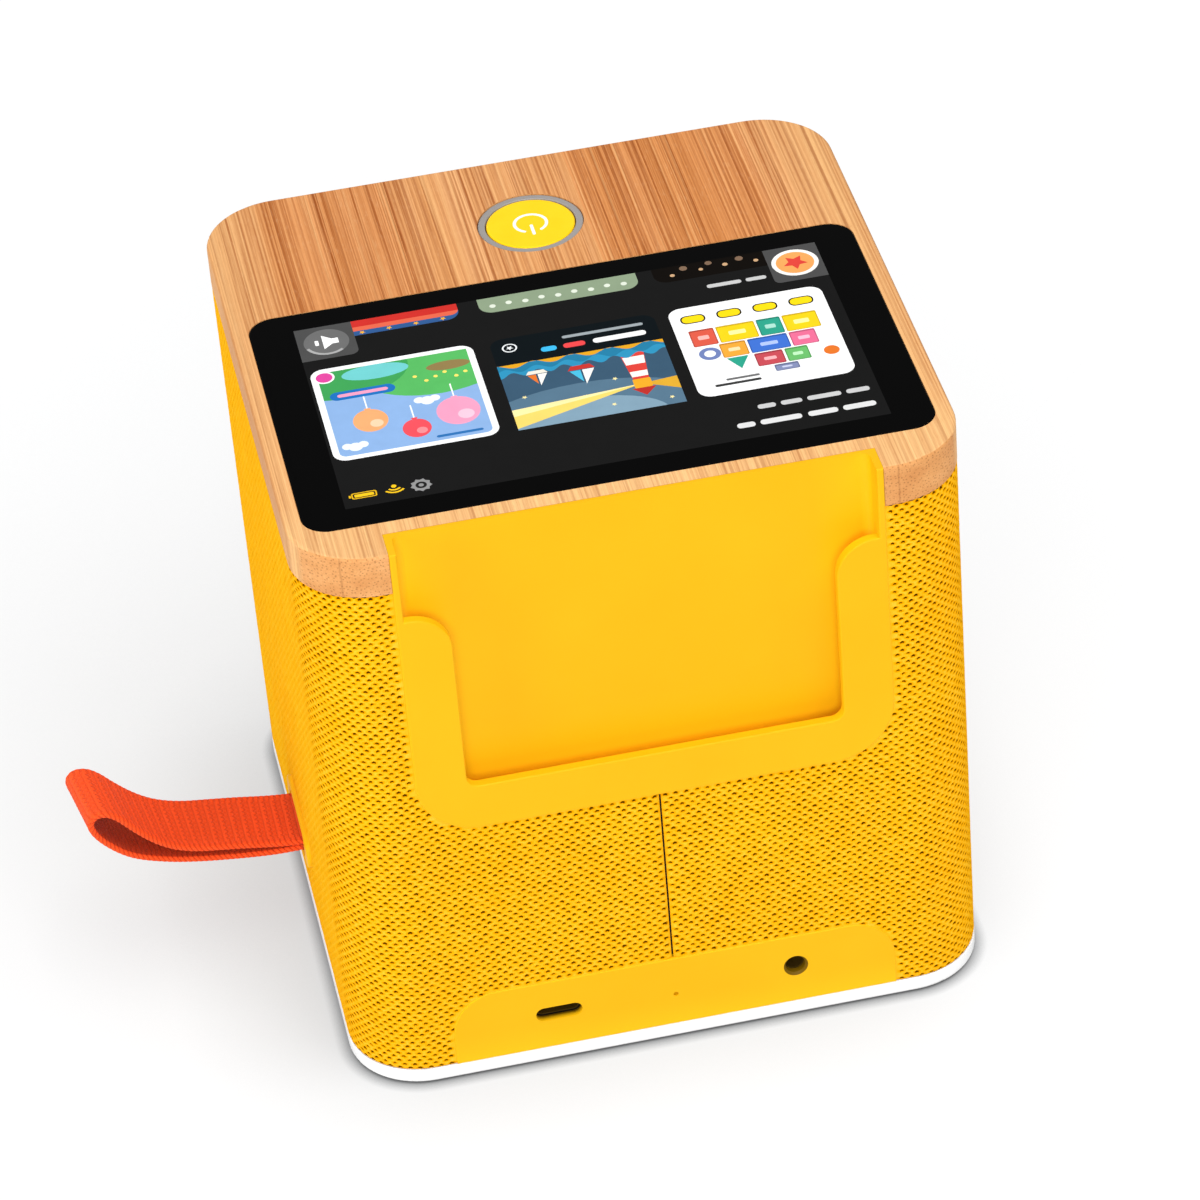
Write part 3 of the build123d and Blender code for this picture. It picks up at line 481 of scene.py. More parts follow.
def mat_cloth(name, c, scale=1500.0):
    m = Mat(name)
    p = m.pos()
    w = m.node("ShaderNodeTexWave", {"Vector": p, "Scale": scale / 6.28, "Distortion": 0.6, "Detail": 1.0}, out="Fac", wave_type="BANDS", bands_direction="DIAGONAL")
    n = m.noise(p, scale, 2.0)
    m.set(Base_Color=m.mix(m.range(w, 0.2, 0.8), tint(c, 0.75), tint(c, 1.1)), Roughness=m.range(n, 0.2, 0.8, 0.8, 0.95),
          Normal=m.bump(w, 0.5, 0.0001))
    return m.m


M = {
    "white": moulded("base_white", (0.90, 0.90, 0.895), 0.34, 0.4, 2200.0, 0.00002, 0.012),
    "yellow": mat_yellow(),
    "bamboo": mat_bamboo(),
    "knit": mat_knit(),
    "web": mat_webbing(),
    "screen": mat_screen(),
    "cap": mat_cap(),
    "ring": moulded("ring_grey", (0.295, 0.275, 0.262), 0.36, 0.4, 2400.0, 0.00002, 0.05),
    "symbol": moulded("symbol_white", (0.93, 0.93, 0.92), 0.4, 0.3, 2600.0, 0.00001, 0.01),
    "black": moulded("chassis_black", (0.016, 0.015, 0.014), 0.62, 0.25, 2000.0, 0.00004, 0.12),
    "socket": moulded("socket_black", (0.012, 0.012, 0.012), 0.5, 0.3, 2600.0, 0.00003, 0.10),
    "mouth": moulded("socket_umber", (0.060, 0.034, 0.004), 0.62, 0.10, 2600.0, 0.00003, 0.12),
    "chip": moulded("chip_black", (0.018, 0.018, 0.020), 0.55, 0.35, 3600.0, 0.00003, 0.15),
    "foam": moulded("foam_black", (0.030, 0.030, 0.030), 0.92, 0.1, 1500.0, 0.00012, 0.25),
    "tape": moulded("tape_black", (0.018, 0.018, 0.018), 0.80, 0.1, 1700.0, 0.00008, 0.20),
    "butyl": moulded("butyl_black", (0.022, 0.022, 0.022), 0.55, 0.3, 1800.0, 0.00005, 0.15),
    "paper": moulded("cone_paper", (0.050, 0.048, 0.046), 0.85, 0.15, 1300.0, 0.00012, 0.20),
    "silicone": moulded("silicone_pale", (0.72, 0.72, 0.70), 0.42, 0.4, 1800.0, 0.00003, 0.05),
    "pad": moulded("pad_silicone", (0.42, 0.42, 0.41), 0.72, 0.25, 1500.0, 0.00006, 0.06),
    "ribbon": moulded("ribbon_film", (0.48, 0.23, 0.045), 0.30, 0.5, 900.0, 0.00002, 0.12),
    "led": moulded("led_phosphor", (0.92, 0.84, 0.48), 0.30, 0.5, 1800.0, 0.00002, 0.05),
    "module": moulded("display_module", (0.022, 0.022, 0.026), 0.22, 0.5, 1300.0, 0.00001, 0.10),
    "wrap": moulded("cell_wrap", (0.035, 0.150, 0.420), 0.28, 0.5, 700.0, 0.00003, 0.10),
    "lead": moulded("lead_sheath", (0.030, 0.030, 0.032), 0.48, 0.35, 1600.0, 0.00003, 0.12),
    "ferrite": moulded("ferrite", (0.055, 0.055, 0.058), 0.60, 0.4, 2200.0, 0.00008, 0.18),
    "painted": moulded("black_phosphate", (0.045, 0.045, 0.048), 0.44, 0.45, 2000.0, 0.00004, 0.15),
    "screw": metal("zinc_screw", (0.62, 0.62, 0.63), 0.30),
    "tin": metal("tin_plate", (0.70, 0.70, 0.71), 0.34, (900.0, 60.0, 60.0)),
    "copper": metal("copper_track", (0.80, 0.36, 0.20), 0.34),
    "board": mat_board(),
    "spider": mat_cloth("doped_cloth", (0.55, 0.40, 0.13)),
}
NODE_MAT = {
    "base_plate": "white", "anti_slip_pad": "pad", "base_screws": "screw", "inner_chassis": "black", "chassis_deck": "black",
    "deck_screws": "screw", "fabric_sleeve": "knit", "card_dock": "yellow", "card_reader_board": "board",
    "card_reader_coil": "copper", "card_reader_screws": "screw", "port_panel": "yellow", "bamboo_top": "bamboo",
    "top_screws": "screw", "cover_glass": "screen", "glass_tape": "tape", "lcd_panel": "module", "display_frame": "black",
    "display_ribbon": "ribbon", "button_ring": "ring", "power_button_cap": "cap", "button_dome": "silicone",
    "button_board": "board", "button_leds": "led", "button_screws": "screw", "main_board": "board", "shield_can": "tin",
    "board_chips": "chip", "board_screws": "screw", "radio_antenna": "ribbon", "battery_cells": "wrap",
    "battery_cradle": "black", "battery_screws": "screw", "battery_lead": "lead", "port_lead": "lead",
    "speaker_lead": "lead", "speaker_gasket": "foam", "speaker_basket": "painted", "speaker_top_plate": "painted",
    "speaker_magnet": "ferrite", "speaker_yoke": "painted", "speaker_cone": "paper", "speaker_surround": "butyl",
    "speaker_spider": "spider", "speaker_screws": "screw", "speaker_chamber": "black", "port_board": "board",
    "port_screws": "screw", "usb_c_receptacle": "mouth", "headphone_socket": "mouth", "reset_switch": "chip",
    "reset_plunger": "socket", "strap_slot_trim": "yellow", "strap_webbing": "web", "strap_tail": "web",
    "strap_anchor_bar": "screw", "strap_bracket": "painted", "strap_screws": "screw",
}
for name, o in NODES.items():
    o.data.materials.clear()
    o.data.materials.append(M[NODE_MAT[name]])


# =============================================================== mesh helpers
def add_mesh(name, verts, faces, mat, smooth=True, normals=None):
    me = bpy.data.meshes.new(name)
    me.from_pydata([tuple(v) for v in np.asarray(verts, float).tolist()], [], faces)
    me.update()
    if smooth:
        me.polygons.foreach_set("use_smooth", np.ones(len(me.polygons), bool))
    o = bpy.data.objects.new(name, me)
    scene.collection.objects.link(o)
    me.materials.append(mat)
    if normals is not None:
        me.normals_split_custom_set_from_vertices([tuple(v) for v in normals.tolist()])
    return o


def put_attr(o, name, kind, values):
    a = o.data.attributes.new(name, kind, "POINT")
    a.data.foreach_set("vector" if kind == "FLOAT_VECTOR" else "value", np.asarray(values, np.float32).ravel())


# =============================================================== knitted sleeve
HALF, RC = 62.5, 14.8
ST = HALF - RC
ARC = RC * math.pi / 2
PERI = 8 * ST + 4 * ARC
COLS, ROWS = 234, 124
P = PERI / COLS
Z0, Z1 = 3.68, 116.76
Q = (Z1 - Z0) / ROWS
E = Q / 3.0


def wrap(s, inset):
    """Point (x, y) at distance s round the sleeve, from the seam at the middle of the back, towards +X, pushed in by inset."""
    s = np.asarray(s, float)
    x, y, nx, ny = (np.zeros_like(s) for _ in range(4))
    runs = [(0.0, ST, "l", (0.0, HALF), (1, 0), (0, 1)), (ST, ARC, "a", (ST, ST), 90.0, None),
            (ST + ARC, 2 * ST, "l", (HALF, ST), (0, -1), (1, 0)), (3 * ST + ARC, ARC, "a", (ST, -ST), 0.0, None),
            (3 * ST + 2 * ARC, 2 * ST, "l", (ST, -HALF), (-1, 0), (0, -1)), (5 * ST + 2 * ARC, ARC, "a", (-ST, -ST), -90.0, None),
            (5 * ST + 3 * ARC, 2 * ST, "l", (-HALF, -ST), (0, 1), (-1, 0)), (7 * ST + 3 * ARC, ARC, "a", (-ST, ST), 180.0, None),
            (7 * ST + 4 * ARC, ST, "l", (-ST, HALF), (1, 0), (0, 1))]
    for i, (s0, ln, kind, c, d, n) in enumerate(runs):
        k = (s >= s0 - (1e9 if i == 0 else 0)) & (s < s0 + ln + (1e9 if i == len(runs) - 1 else 0))
        t = s[k] - s0
        if kind == "l":
            x[k], y[k] = c[0] + d[0] * t, c[1] + d[1] * t
            nx[k], ny[k] = n
        else:
            a = np.radians(d) - t / RC
            nx[k], ny[k] = np.cos(a), np.sin(a)
            x[k], y[k] = c[0] + RC * nx[k], c[1] + RC * ny[k]
    return x - nx * inset, y - ny * inset


def sd_box(px, pz, cx, cz, hx, hz, r):
    qx, qz = np.abs(px - cx) - (hx - r), np.abs(pz - cz) - (hz - r)
    return np.hypot(np.maximum(qx, 0), np.maximum(qz, 0)) + np.minimum(np.maximum(qx, qz), 0) - r


def openings(s, z):
    """Distance to the nearest opening's edge, negative inside it: card dock, port panel, strap slot trim."""
    xb = np.where(s < PERI / 2, s, s - PERI)
    d = sd_box(xb, z, 0, 60.3 + 50, 45.6, 50.0, 12.0)
    d = np.minimum(d, sd_box(xb, z, 0, 19.85 - 40, 43.5, 40.0, 9.0))
    yr = ST - (s - ST - ARC)
    d = np.minimum(d, np.where((s > 40) & (s < 200), sd_box(yr, z, 0, 19.75, 13.0, 3.5, 3.2), 99.0))
    return d


def snap(s, z, depth):
    """Points deeper inside an opening than depth come back to it."""
    for _ in range(3):
        d = openings(s, z)
        k = d < -depth
        h = 1e-3
        gs = (openings(s[k] + h, z[k]) - openings(s[k] - h, z[k])) / (2 * h)
        gz = (openings(s[k], z[k] + h) - openings(s[k], z[k] - h)) / (2 * h)
        g = np.maximum(np.hypot(gs, gz), 1e-6)
        mv = (-depth - d[k]) / g
        s[k] += mv * gs / g
        z[k] += mv * gz / g
    return s, z


def build_sleeve():
    SEAM = 0.17
    # corners of the cells: each is one end of an upright edge between two stitches of a row
    ve = {}
    vs, vz = [], []
    for j in range(-1, ROWS + 1):
        zc = Z0 + (j + 0.5) * Q
        off = 0.5 * (j % 2)
        for i in range(-1, COLS + 1):
            for u in (0, 1):
                ve[(j, i, u)] = len(vs)
                vs.append((i + 0.5 + off) * P)
                vz.append(zc + (E if u else -E))
    vs, vz = np.array(vs), np.array(vz)
    n0 = len(vs)
    vs += rng.normal(0, 0.035, n0)
    vz += rng.normal(0, 0.025, n0)
    vs = np.clip(vs, SEAM, PERI - SEAM)
    vz = np.clip(vz, Z0, Z1)
    d0 = openings(vs, vz)
    vs, vz = snap(vs, vz, 0.42)
    # TN holds tone: about 0.84 on the cell corners, which the knit material turns into a painted highlight on the
    # crowns
    S, Zz, IN, TN = [vs], [vz], [0.045 + rng.uniform(-0.02, 0.02, n0)], [0.84 + rng.uniform(-0.10, 0.14, n0)]
    count = n0
    faces = []
    fcol = []
    # the eyelet: a short arch, wider than it is tall
    rim = np.array([(0.36, -0.23), (0.36, 0.11), (0.03, 0.31), (-0.34, 0.14), (-0.37, -0.21), (0.0, -0.14)])
    for j in range(ROWS):
        zc = Z0 + (j + 0.5) * Q
        odd = j % 2
        for i in range(0, COLS + (0 if odd else 1)):
            sc = (i + 0.5 * odd) * P
            up = (j + 1, i if odd else i - 1, 0)
            dn = (j - 1, i if odd else i - 1, 1)
            c = [ve[(j, i, 0)], ve[(j, i, 1)], ve[up], ve[(j, i - 1, 1)], ve[(j, i - 1, 0)], ve[dn]]
            if all(d0[q] < -0.42 for q in c):
                continue
            dc = openings(np.array([sc]), np.array([zc]))[0]
            hole = dc > 0.22 and 0.55 < sc < PERI - 0.55 and zc - Z0 > 0.3 and Z1 - zc > 0.3
            if not hole:
                faces.append(c)
                fcol.append(i)
                continue
            ang = rng.normal(0, 0.17)
            ca, sa = math.cos(ang), math.sin(ang)
            k = rng.uniform(0.84, 1.12)
            kz = k * rng.uniform(0.82, 1.15)
            dx, dz = rng.normal(0, 0.045), rng.normal(0, 0.035)
            shut = rng.random()
            pts = [(sc + dx + (a * ca * k - b * sa * kz), zc + dz + (a * sa * k + b * ca * kz)) for a, b in rim]
            inner = [(sc + dx + 0.90 * (p_[0] - sc - dx), zc + dz + 0.01 + 0.88 * (p_[1] - zc - dz)) for p_ in pts]
            r0 = count
            S.append([p_[0] for p_ in pts] + [p_[0] for p_ in inner])
            Zz.append([p_[1] for p_ in pts] + [p_[1] for p_ in inner])
            deep = 0.50 if shut < 0.8 else 0.30
            IN.append([0.12] * 6 + [deep] * 6)
            lo = rng.uniform(0.0, 0.10) if shut < 0.8 else rng.uniform(0.12, 0.24)
            # tone 0.40 on the rim paints shade there; at the bottom it is dark partly for the backing seen through and
            # partly as painted shade
            TN.append([0.40 + rng.uniform(-0.06, 0.06)] * 6 + [lo] * 6)
            count += 12
            for q in range(6):
                w = (q + 1) % 6
                faces.append([c[q], c[w], r0 + w, r0 + q])
                faces.append([r0 + q, r0 + w, r0 + 6 + w, r0 + 6 + q])
                fcol += [i, i]
            faces.append([r0 + 6 + q for q in range(6)])
            fcol.append(i)
    s = np.concatenate([np.asarray(a, float) for a in S])
    z = np.concatenate([np.asarray(a, float) for a in Zz])
    inset = np.concatenate([np.asarray(a, float) for a in IN])
    tone = np.concatenate([np.asarray(a, float) for a in TN])
    s = np.clip(s, SEAM, PERI - SEAM)
    z = np.clip(z, Z0, Z1)
    # the cloth rolls in a little along its hems and along the seam, and tone paints shade on the roll
    for d, r, a in ((Z1 - z, 0.9, 0.34), (z - Z0, 0.9, 0.30), (s - SEAM, 0.8, 0.45), (PERI - SEAM - s, 0.8, 0.45)):
        t = np.clip(1 - d / r, 0, 1)
        inset += a * (1 - np.sqrt(np.maximum(0, 1 - t * t)))
        tone -= 0.22 * t * t
    # the cloth dips where it meets the dock and the panel, and tone paints shade into the dip
    t = np.clip(1 - openings(s, z) / 0.8, 0, 1)
    inset += 0.10 * t * t
    tone -= 0.10 * t
    tone = np.clip(tone, 0, 1)
    x, y = wrap(s, inset)
    V = np.stack([x, y, z], 1) * MM
    # smooth normals over the whole sleeve, so that no panel joint shows
    N = np.zeros_like(V)
    quads = np.array([f for f in faces if len(f) == 4])
    hexes = np.array([f for f in faces if len(f) == 6])
    for arr in (quads, hexes):
        a, b, c_ = V[arr[:, 0]], V[arr[:, len(arr[0]) // 2 - (0 if len(arr[0]) == 4 else 1)]], V[arr[:, -1]]
        cr = np.cross(V[arr[:, 1]] - V[arr[:, 0]], V[arr[:, 2]] - V[arr[:, 0]]) + np.cross(V[arr[:, 2]] - V[arr[:, 0]], V[arr[:, 3]] - V[arr[:, 0]])
        if arr.shape[1] == 6:
            cr = cr + np.cross(V[arr[:, 3]] - V[arr[:, 0]], V[arr[:, 4]] - V[arr[:, 0]]) + np.cross(V[arr[:, 4]] - V[arr[:, 0]], V[arr[:, 5]] - V[arr[:, 0]])
        for q in range(arr.shape[1]):
            np.add.at(N, arr[:, q], cr)
    # faces are drawn with +Z up and s to the right as seen from outside when s runs the other way, so flip them
    flip = -1.0
    N *= flip
    ln = np.linalg.norm(N, axis=1)
    N = N / np.maximum(ln, 1e-15)[:, None]
    fcol = np.array(fcol)
    names = ["knit_back_right", "knit_right", "knit_front_right", "knit_front_left", "knit_left", "knit_back_left"]
    per = COLS // 6
    for pn, nm in enumerate(names):
        pick = [f for f, c in zip(faces, fcol) if min(c // per, 5) == pn]
        used = np.unique(np.concatenate([np.array(f) for f in pick]))
        remap = np.full(len(V), -1)
        remap[used] = np.arange(len(used))
        rl = remap.tolist()
        fs = [[rl[q] for q in f[::-1]] for f in pick]
        o = add_mesh(nm, V[used], fs, M["knit"], True, N[used])
        put_attr(o, "tone", "FLOAT", tone[used])
        put_attr(o, "knit", "FLOAT_VECTOR", np.stack([s[used], z[used], np.zeros(len(used))], 1))
        uv = o.data.uv_layers.new(name="OFBake")
        li = np.zeros(len(o.data.loops), int)
        o.data.loops.foreach_get("vertex_index", li)
        su, zu = s[used], z[used]
        lo, hi = su.min(), su.max()
        sc = 0.98 / max(hi - lo, Z1 - Z0)
        uvs = np.stack([0.01 + (su[li] - lo) * sc, 0.01 + (zu[li] - Z0) * sc], 1)
        uv.data.foreach_set("uv", uvs.astype(np.float32).ravel())
        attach(o, "housing")
        if pn == 0:
            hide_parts("fabric_sleeve")
        co = V[used]


build_sleeve()


# =============================================================== display glass with its picture
def rrect(x0, x1, y0, y1, r, n=7):
    """Rounded rectangle, anticlockwise. r is one radius, or four from the lower left corner on."""
    rs = [r] * 4 if not isinstance(r, (tuple, list)) else list(r)
    pts = []
    for (cx, cy, a0), q in zip(((x0, y0, 180), (x1, y0, 270), (x1, y1, 0), (x0, y1, 90)), rs):
        if q <= 0:
            pts.append((cx, cy))
            continue
        mx = cx + q * (1 if cx == x0 else -1)
        my = cy + q * (1 if cy == y0 else -1)
        for k in range(n + 1):
            a = math.radians(a0 + 90.0 * k / n)
            pts.append((mx + q * math.cos(a), my + q * math.sin(a)))
    return pts


def disc(cx, cy, r, n=28, ry=None):
    ry = ry or r
    return [(cx + r * math.cos(2 * math.pi * k / n), cy + ry * math.sin(2 * math.pi * k / n)) for k in range(n)]


def arc_band(cx, cy, r0, r1, a0, a1, n=14):
    o = [(cx + r1 * math.cos(math.radians(a0 + (a1 - a0) * k / n)), cy + r1 * math.sin(math.radians(a0 + (a1 - a0) * k / n))) for k in range(n + 1)]
    i = [(cx + r0 * math.cos(math.radians(a0 + (a1 - a0) * k / n)), cy + r0 * math.sin(math.radians(a0 + (a1 - a0) * k / n))) for k in range(n, -1, -1)]
    return o + i


def star(cx, cy, r, n=5, inner=0.45, turn=90.0):
    return [((cx + (r if k % 2 == 0 else r * inner) * math.cos(math.radians(turn + 180.0 * k / n))),
             (cy + (r if k % 2 == 0 else r * inner) * math.sin(math.radians(turn + 180.0 * k / n)))) for k in range(2 * n)]


def clip_to(poly, x0, x1, y0, y1):
    """Cuts a convex or gently curved polygon to a rectangle."""
    def cut(pts, inside, meet):
        out = []
        for k in range(len(pts)):
            a, b = pts[k - 1], pts[k]
            if inside(b):
                if not inside(a):
                    out.append(meet(a, b))
                out.append(b)
            elif inside(a):
                out.append(meet(a, b))
        return out

    def mx(v):
        return lambda a, b: (v, a[1] + (b[1] - a[1]) * (v - a[0]) / (b[0] - a[0]))

    def my(v):
        return lambda a, b: (a[0] + (b[0] - a[0]) * (v - a[1]) / (b[1] - a[1]), v)

    for ins, me_ in ((lambda p_: p_[0] >= x0, mx(x0)), (lambda p_: p_[0] <= x1, mx(x1)),
                     (lambda p_: p_[1] >= y0, my(y0)), (lambda p_: p_[1] <= y1, my(y1))):
        if len(poly) < 3:
            return []
        poly = cut(poly, ins, me_)
    return poly


def screen_picture():
    """The picture on the screen: (polygon, colour) pairs, later ones on top, in millimetres on the top face. +Y is the picture's top."""
    L = []

    def add(poly, colour, box=None):
        if box:
            poly = clip_to(poly, *box)
        if len(poly) >= 3:
            L.append((poly, lin(colour)))

    GX, GY = 59.05 - 0.15, 36.1 - 0.15
    add(rrect(-GX, GX, 15.9 - GY, 15.9 + GY, 4.9, 12), "#020202")
    ax0, ax1, ay0, ay1 = -51.2, 50.7, -14.5, 46.1
    add(rrect(ax0, ax1, ay0, ay1, 0), "#161616")
    # lower row, cut off by the edge of the picture
    lo = (ax0, ax1, ay0, ay1)
    add(rrect(19.2, 49.8, -30, -9.4, 2.6), "#30588F", lo)
    add(rrect(19.2, 49.8, -30, -10.9, 1.6), "#E0654A", lo)
    add(rrect(19.2, 49.8, -30, -12.3, 0), "#C9302A", lo)
    for k in range(5):
        add(star(22.5 + 5.2 * k, -10.2, 0.62), "#F0B030", lo)
    add(rrect(-15.8, 15.2, -30, -9.3, 2.6), "#8A9C80", lo)
    for k in range(9):
        add(disc(-13.0 + 3.2 * k, -11.5 - 0.35 * (k % 2), 0.62, 12), "#DCE4D4", lo)
    add(rrect(-48.9, -18.9, -30, -9.3, 2.6), "#0C0805", lo)
    for k, (px, py, pr) in enumerate([(-22.5, -11.4, 0.5), (-25.0, -13.2, 0.8), (-28.2, -11.9, 0.45), (-30.0, -13.6, 0.7), (-33.0, -12.2, 0.55), (-36.0, -13.4, 0.8), (-39.0, -11.8, 0.5)]):
        add(disc(px, py, pr, 10), ("#C9A37B", "#7D6450")[k % 2], lo)

    # cover 1: hills, a pond and balloons
    def cover(x0, x1, y0, y1, r, frame_c, inset, fill):
        add(rrect(x0, x1, y0, y1, r), frame_c)
        b = (x0 + inset, x1 - inset, y0 + inset, y1 - inset)
        add(rrect(*b, max(0.3, r - inset)), fill)
        return b

    b = cover(18.9, 50.1, 0.0, 30.9, 2.6, "#F7F8F8", 1.25, "#8AAEDD")
    add(disc(27.0, 4.0, 15.0, 40, 10.5), "#57B560", b)
    add(disc(44.5, 2.0, 13.0, 40, 9.0), "#3F9E55", b)
    add(disc(38.0, 3.6, 6.4, 30, 2.4), "#6FC9C9", b)
    add(disc(24.4, 5.6, 4.2, 26, 1.5), "#8E7A4B", b)
    for cx, cy, r, c1, c2 in ((25.2, 21.0, 4.1, "#F29CBC", "#FAC3D6"), (33.6, 24.4, 2.7, "#E8505B", "#F58A90"), (41.5, 19.4, 3.3, "#F7A871", "#FBCDA8")):
        add([(cx - 0.14, cy - r - 5.0), (cx + 0.14, cy - r - 5.0), (cx + 0.14, cy - r), (cx - 0.14, cy - r)], "#F7F8F8", b)
        add([(cx - 0.7, cy - r - 0.8), (cx + 0.7, cy - r - 0.8), (cx, cy - r + 0.5)], c1, b)
        add(disc(cx, cy, r, 30, r * 1.12), c1, b)
        add(disc(cx - r * 0.3, cy + r * 0.35, r * 0.38, 18), c2, b)
    for cx, cy in ((45.6, 26.6), (30.2, 15.6)):
        for dx, dy, r in ((-1.5, 0, 1.0), (0, 0.45, 1.35), (1.5, 0, 1.0)):
            add(disc(cx + dx, cy + dy, r, 16), "#E9F2FB", b)
    for k in range(6):
        add(disc(21.6 + 1.9 * k, 8.6 + 1.1 * math.sin(k * 2.1), 0.42, 10), "#FFE16B", b)
    add(rrect(35.2, 47.6, 8.4, 11.2, 1.4), "#1F6FB8")
    add(rrect(36.6, 46.2, 9.3, 10.3, 0.5), "#F29CBC")
    add(rrect(21.8, 30.6, 27.9, 28.7, 0.4), "#2F6FB0")
    add(disc(47.6, 2.9, 2.0, 26), "#F7F8F8")
    add(disc(47.6, 2.9, 1.6, 24), "#D8479A")

    # cover 2: a night sea with a lighthouse beam and waves
    b = cover(-16.1, 15.7, 0.2, 30.9, 2.6, "#0A1216", 0.0, "#0A1216")
    b = (-16.1, 15.7, 9.2, 30.9)
    add(rrect(-16.1, 15.7, 9.2, 30.9, (0, 0, 2.6, 2.6)), "#39566D")
    add(clip_to(disc(2.0, 32.0, 24.0, 40, 13.0), *b), "#55748A")
    add(clip_to(disc(4.0, 33.0, 17.0, 36, 9.0), *b), "#7F9DB0")
    add([(-9.4, 22.6), (15.7, 30.4), (15.7, 24.2)], "#F2D36B")
    add([(-9.4, 22.6), (15.7, 26.4), (15.7, 24.2)], "#F8E7A4")
    add([(-9.4, 22.6), (-16.1, 26.2), (-16.1, 22.0)], "#D9A531")
    add([(-11.9, 11.0), (-7.1, 11.0), (-8.0, 21.0), (-11.0, 21.0)], "#D7423A")
    add([(-11.6, 13.4), (-7.45, 13.4), (-7.7, 16.0), (-11.35, 16.0)], "#F4F1EA")
    add([(-11.2, 18.4), (-7.85, 18.4), (-8.0, 20.2), (-11.05, 20.2)], "#F4F1EA")
    add(rrect(-11.2, -7.8, 21.0, 24.0, 0.3), "#E8A628")
    add([(-11.8, 24.0), (-7.2, 24.0), (-9.5, 26.6)], "#B5302A")
    for row, (yy, c) in enumerate(((12.8, "#2F8FB8"), (11.4, "#257A9F"), (9.8, "#E0A020"))):
        pts = []
        n = 60
        for k in range(n + 1):
            xx = -16.1 + 31.8 * k / n
            pts.append((xx, yy + 0.75 * math.sin(xx * (1.3 - 0.22 * row) + row * 1.7)))
        add([(-16.1, 9.2)] + [(15.7, 9.2)] + pts[::-1], c)
    for cx, cy, s_, c1, c2 in ((0.6, 14.6, 1.0, "#C4352E", "#49B9DB"), (8.9, 13.6, 0.8, "#E8E3D6", "#E0742B")):
        add([(cx - 2.6 * s_, cy), (cx + 2.6 * s_, cy), (cx + 1.8 * s_, cy - 1.4 * s_), (cx - 1.8 * s_, cy - 1.4 * s_)], c1)
        add([(cx - 0.1, cy + 0.2), (cx - 0.1, cy + 5.0 * s_), (cx - 2.4 * s_, cy + 0.2)], "#F4F1EA")
        add([(cx + 0.25, cy + 0.2), (cx + 2.3 * s_, cy + 0.2), (cx + 0.25, cy + 4.2 * s_)], c2)
    for px, py in ((-3.0, 27.8), (1.6, 23.6), (-13.8, 28.6), (-4.8, 19.6), (12.6, 20.6)):
        add(star(px, py, 0.55), "#F8E7A4")
    add(rrect(-13.6, -3.4, 5.2, 6.8, 0.7), "#F2F2F2")
    add(rrect(-1.9, 2.3, 5.2, 6.8, 0.7), "#E8484A")
    add(rrect(3.6, 6.6, 5.2, 6.8, 0.7), "#3DB4E6")
    add(rrect(-13.6, 2.0, 2.6, 3.5, 0.4), "#9AA3A8")
    add(disc(12.2, 3.6, 1.45, 22), "#E9EDEF")
    add(disc(12.2, 3.6, 1.15, 20), "#0A1216")
    add(star(12.2, 3.6, 0.75), "#E9EDEF")

    # cover 3: building blocks
    b = cover(-48.6, -18.7, 0.3, 30.8, 2.6, "#FAFAFA", 0.0, "#FAFAFA")
    blocks = [(-45.8, 8.4, 6.6, 5.6, "#F6CE1C"), (-38.8, 8.4, 4.6, 5.6, "#2E9E86"), (-33.8, 8.4, 7.4, 5.6, "#F6CE1C"), (-26.0, 8.4, 4.8, 5.6, "#D85A47"),
              (-44.2, 14.3, 5.0, 4.8, "#E56C93"), (-38.8, 14.3, 7.6, 4.8, "#3F6FCB"), (-30.8, 14.3, 5.0, 4.8, "#F0A53A"),
              (-41.6, 19.4, 4.4, 4.4, "#68B768"), (-36.8, 19.4, 5.4, 4.4, "#C24B55"),
              (-38.8, 24.1, 4.6, 2.2, "#8089B0")]
    for bx, by, bw, bh, c in blocks:
        dk = tuple(v * 0.62 for v in lin(c))
        L.append((rrect(bx, bx + bw, by, by + bh, 0.35), dk))
        L.append((rrect(bx + 0.22, bx + bw - 0.22, by + 0.5, by + bh - 0.22, 0.25), lin(c)))
        L.append((rrect(bx + bw * 0.28, bx + bw * 0.72, by + bh * 0.38, by + bh * 0.62, 0.3), tuple(min(1.0, v * 1.0 + 0.35) for v in lin(c))))
    add([(-30.4, 19.4), (-26.2, 19.4), (-28.3, 23.4)], "#2E9E86")
    add(disc(-23.6, 16.9, 2.1, 24), "#6E7FB4")
    add(disc(-23.6, 16.9, 1.1, 20), "#FAFAFA")
    add(disc(-45.7, 22.4, 1.5, 22), "#E0742B")
    for k in range(4):
        add(rrect(-46.4 + 7.0 * k, -41.6 + 7.0 * k, 3.1, 5.9, 1.2), "#1A1A1A")
        add(rrect(-46.1 + 7.0 * k, -41.9 + 7.0 * k, 3.4, 5.6, 1.0), "#F9D616")
    add(rrect(-31.0, -22.2, 27.3, 28.1, 0.3), "#3A3A3A")
    add(rrect(-31.0, -24.6, 25.9, 26.6, 0.3), "#6B6B6B")

    # corner buttons
    add(rrect(39.7, ax1, ay0, -3.4, (0, 0, 0, 1.6)), "#4B4B4B")
    add(disc(45.2, -9.0, 4.35, 40), "#6A6A6A")
    add(arc_band(45.2, -9.0, 3.75, 4.35, 20, 130), "#A8A8A8")
    sp = [(42.9, -9.9), (44.1, -9.9), (45.9, -11.4), (45.9, -6.7), (44.1, -8.2), (42.9, -8.2)]
    add(sp, "#FFFFFF")
    add(rrect(46.7, 47.4, -9.9, -8.2, 0.2), "#FFFFFF")
    add(rrect(ax0, -40.8, ay0, -2.6, (0, 0, 1.2, 0)), "#4B4B4B")
    add(disc(-46.0, -8.7, 4.55, 40), "#F6F4EF")
    add(disc(-46.0, -8.7, 3.7, 36), "#F0A35B")
    add(star(-46.0, -8.8, 2.5, 5, 0.5), "#D9433A")
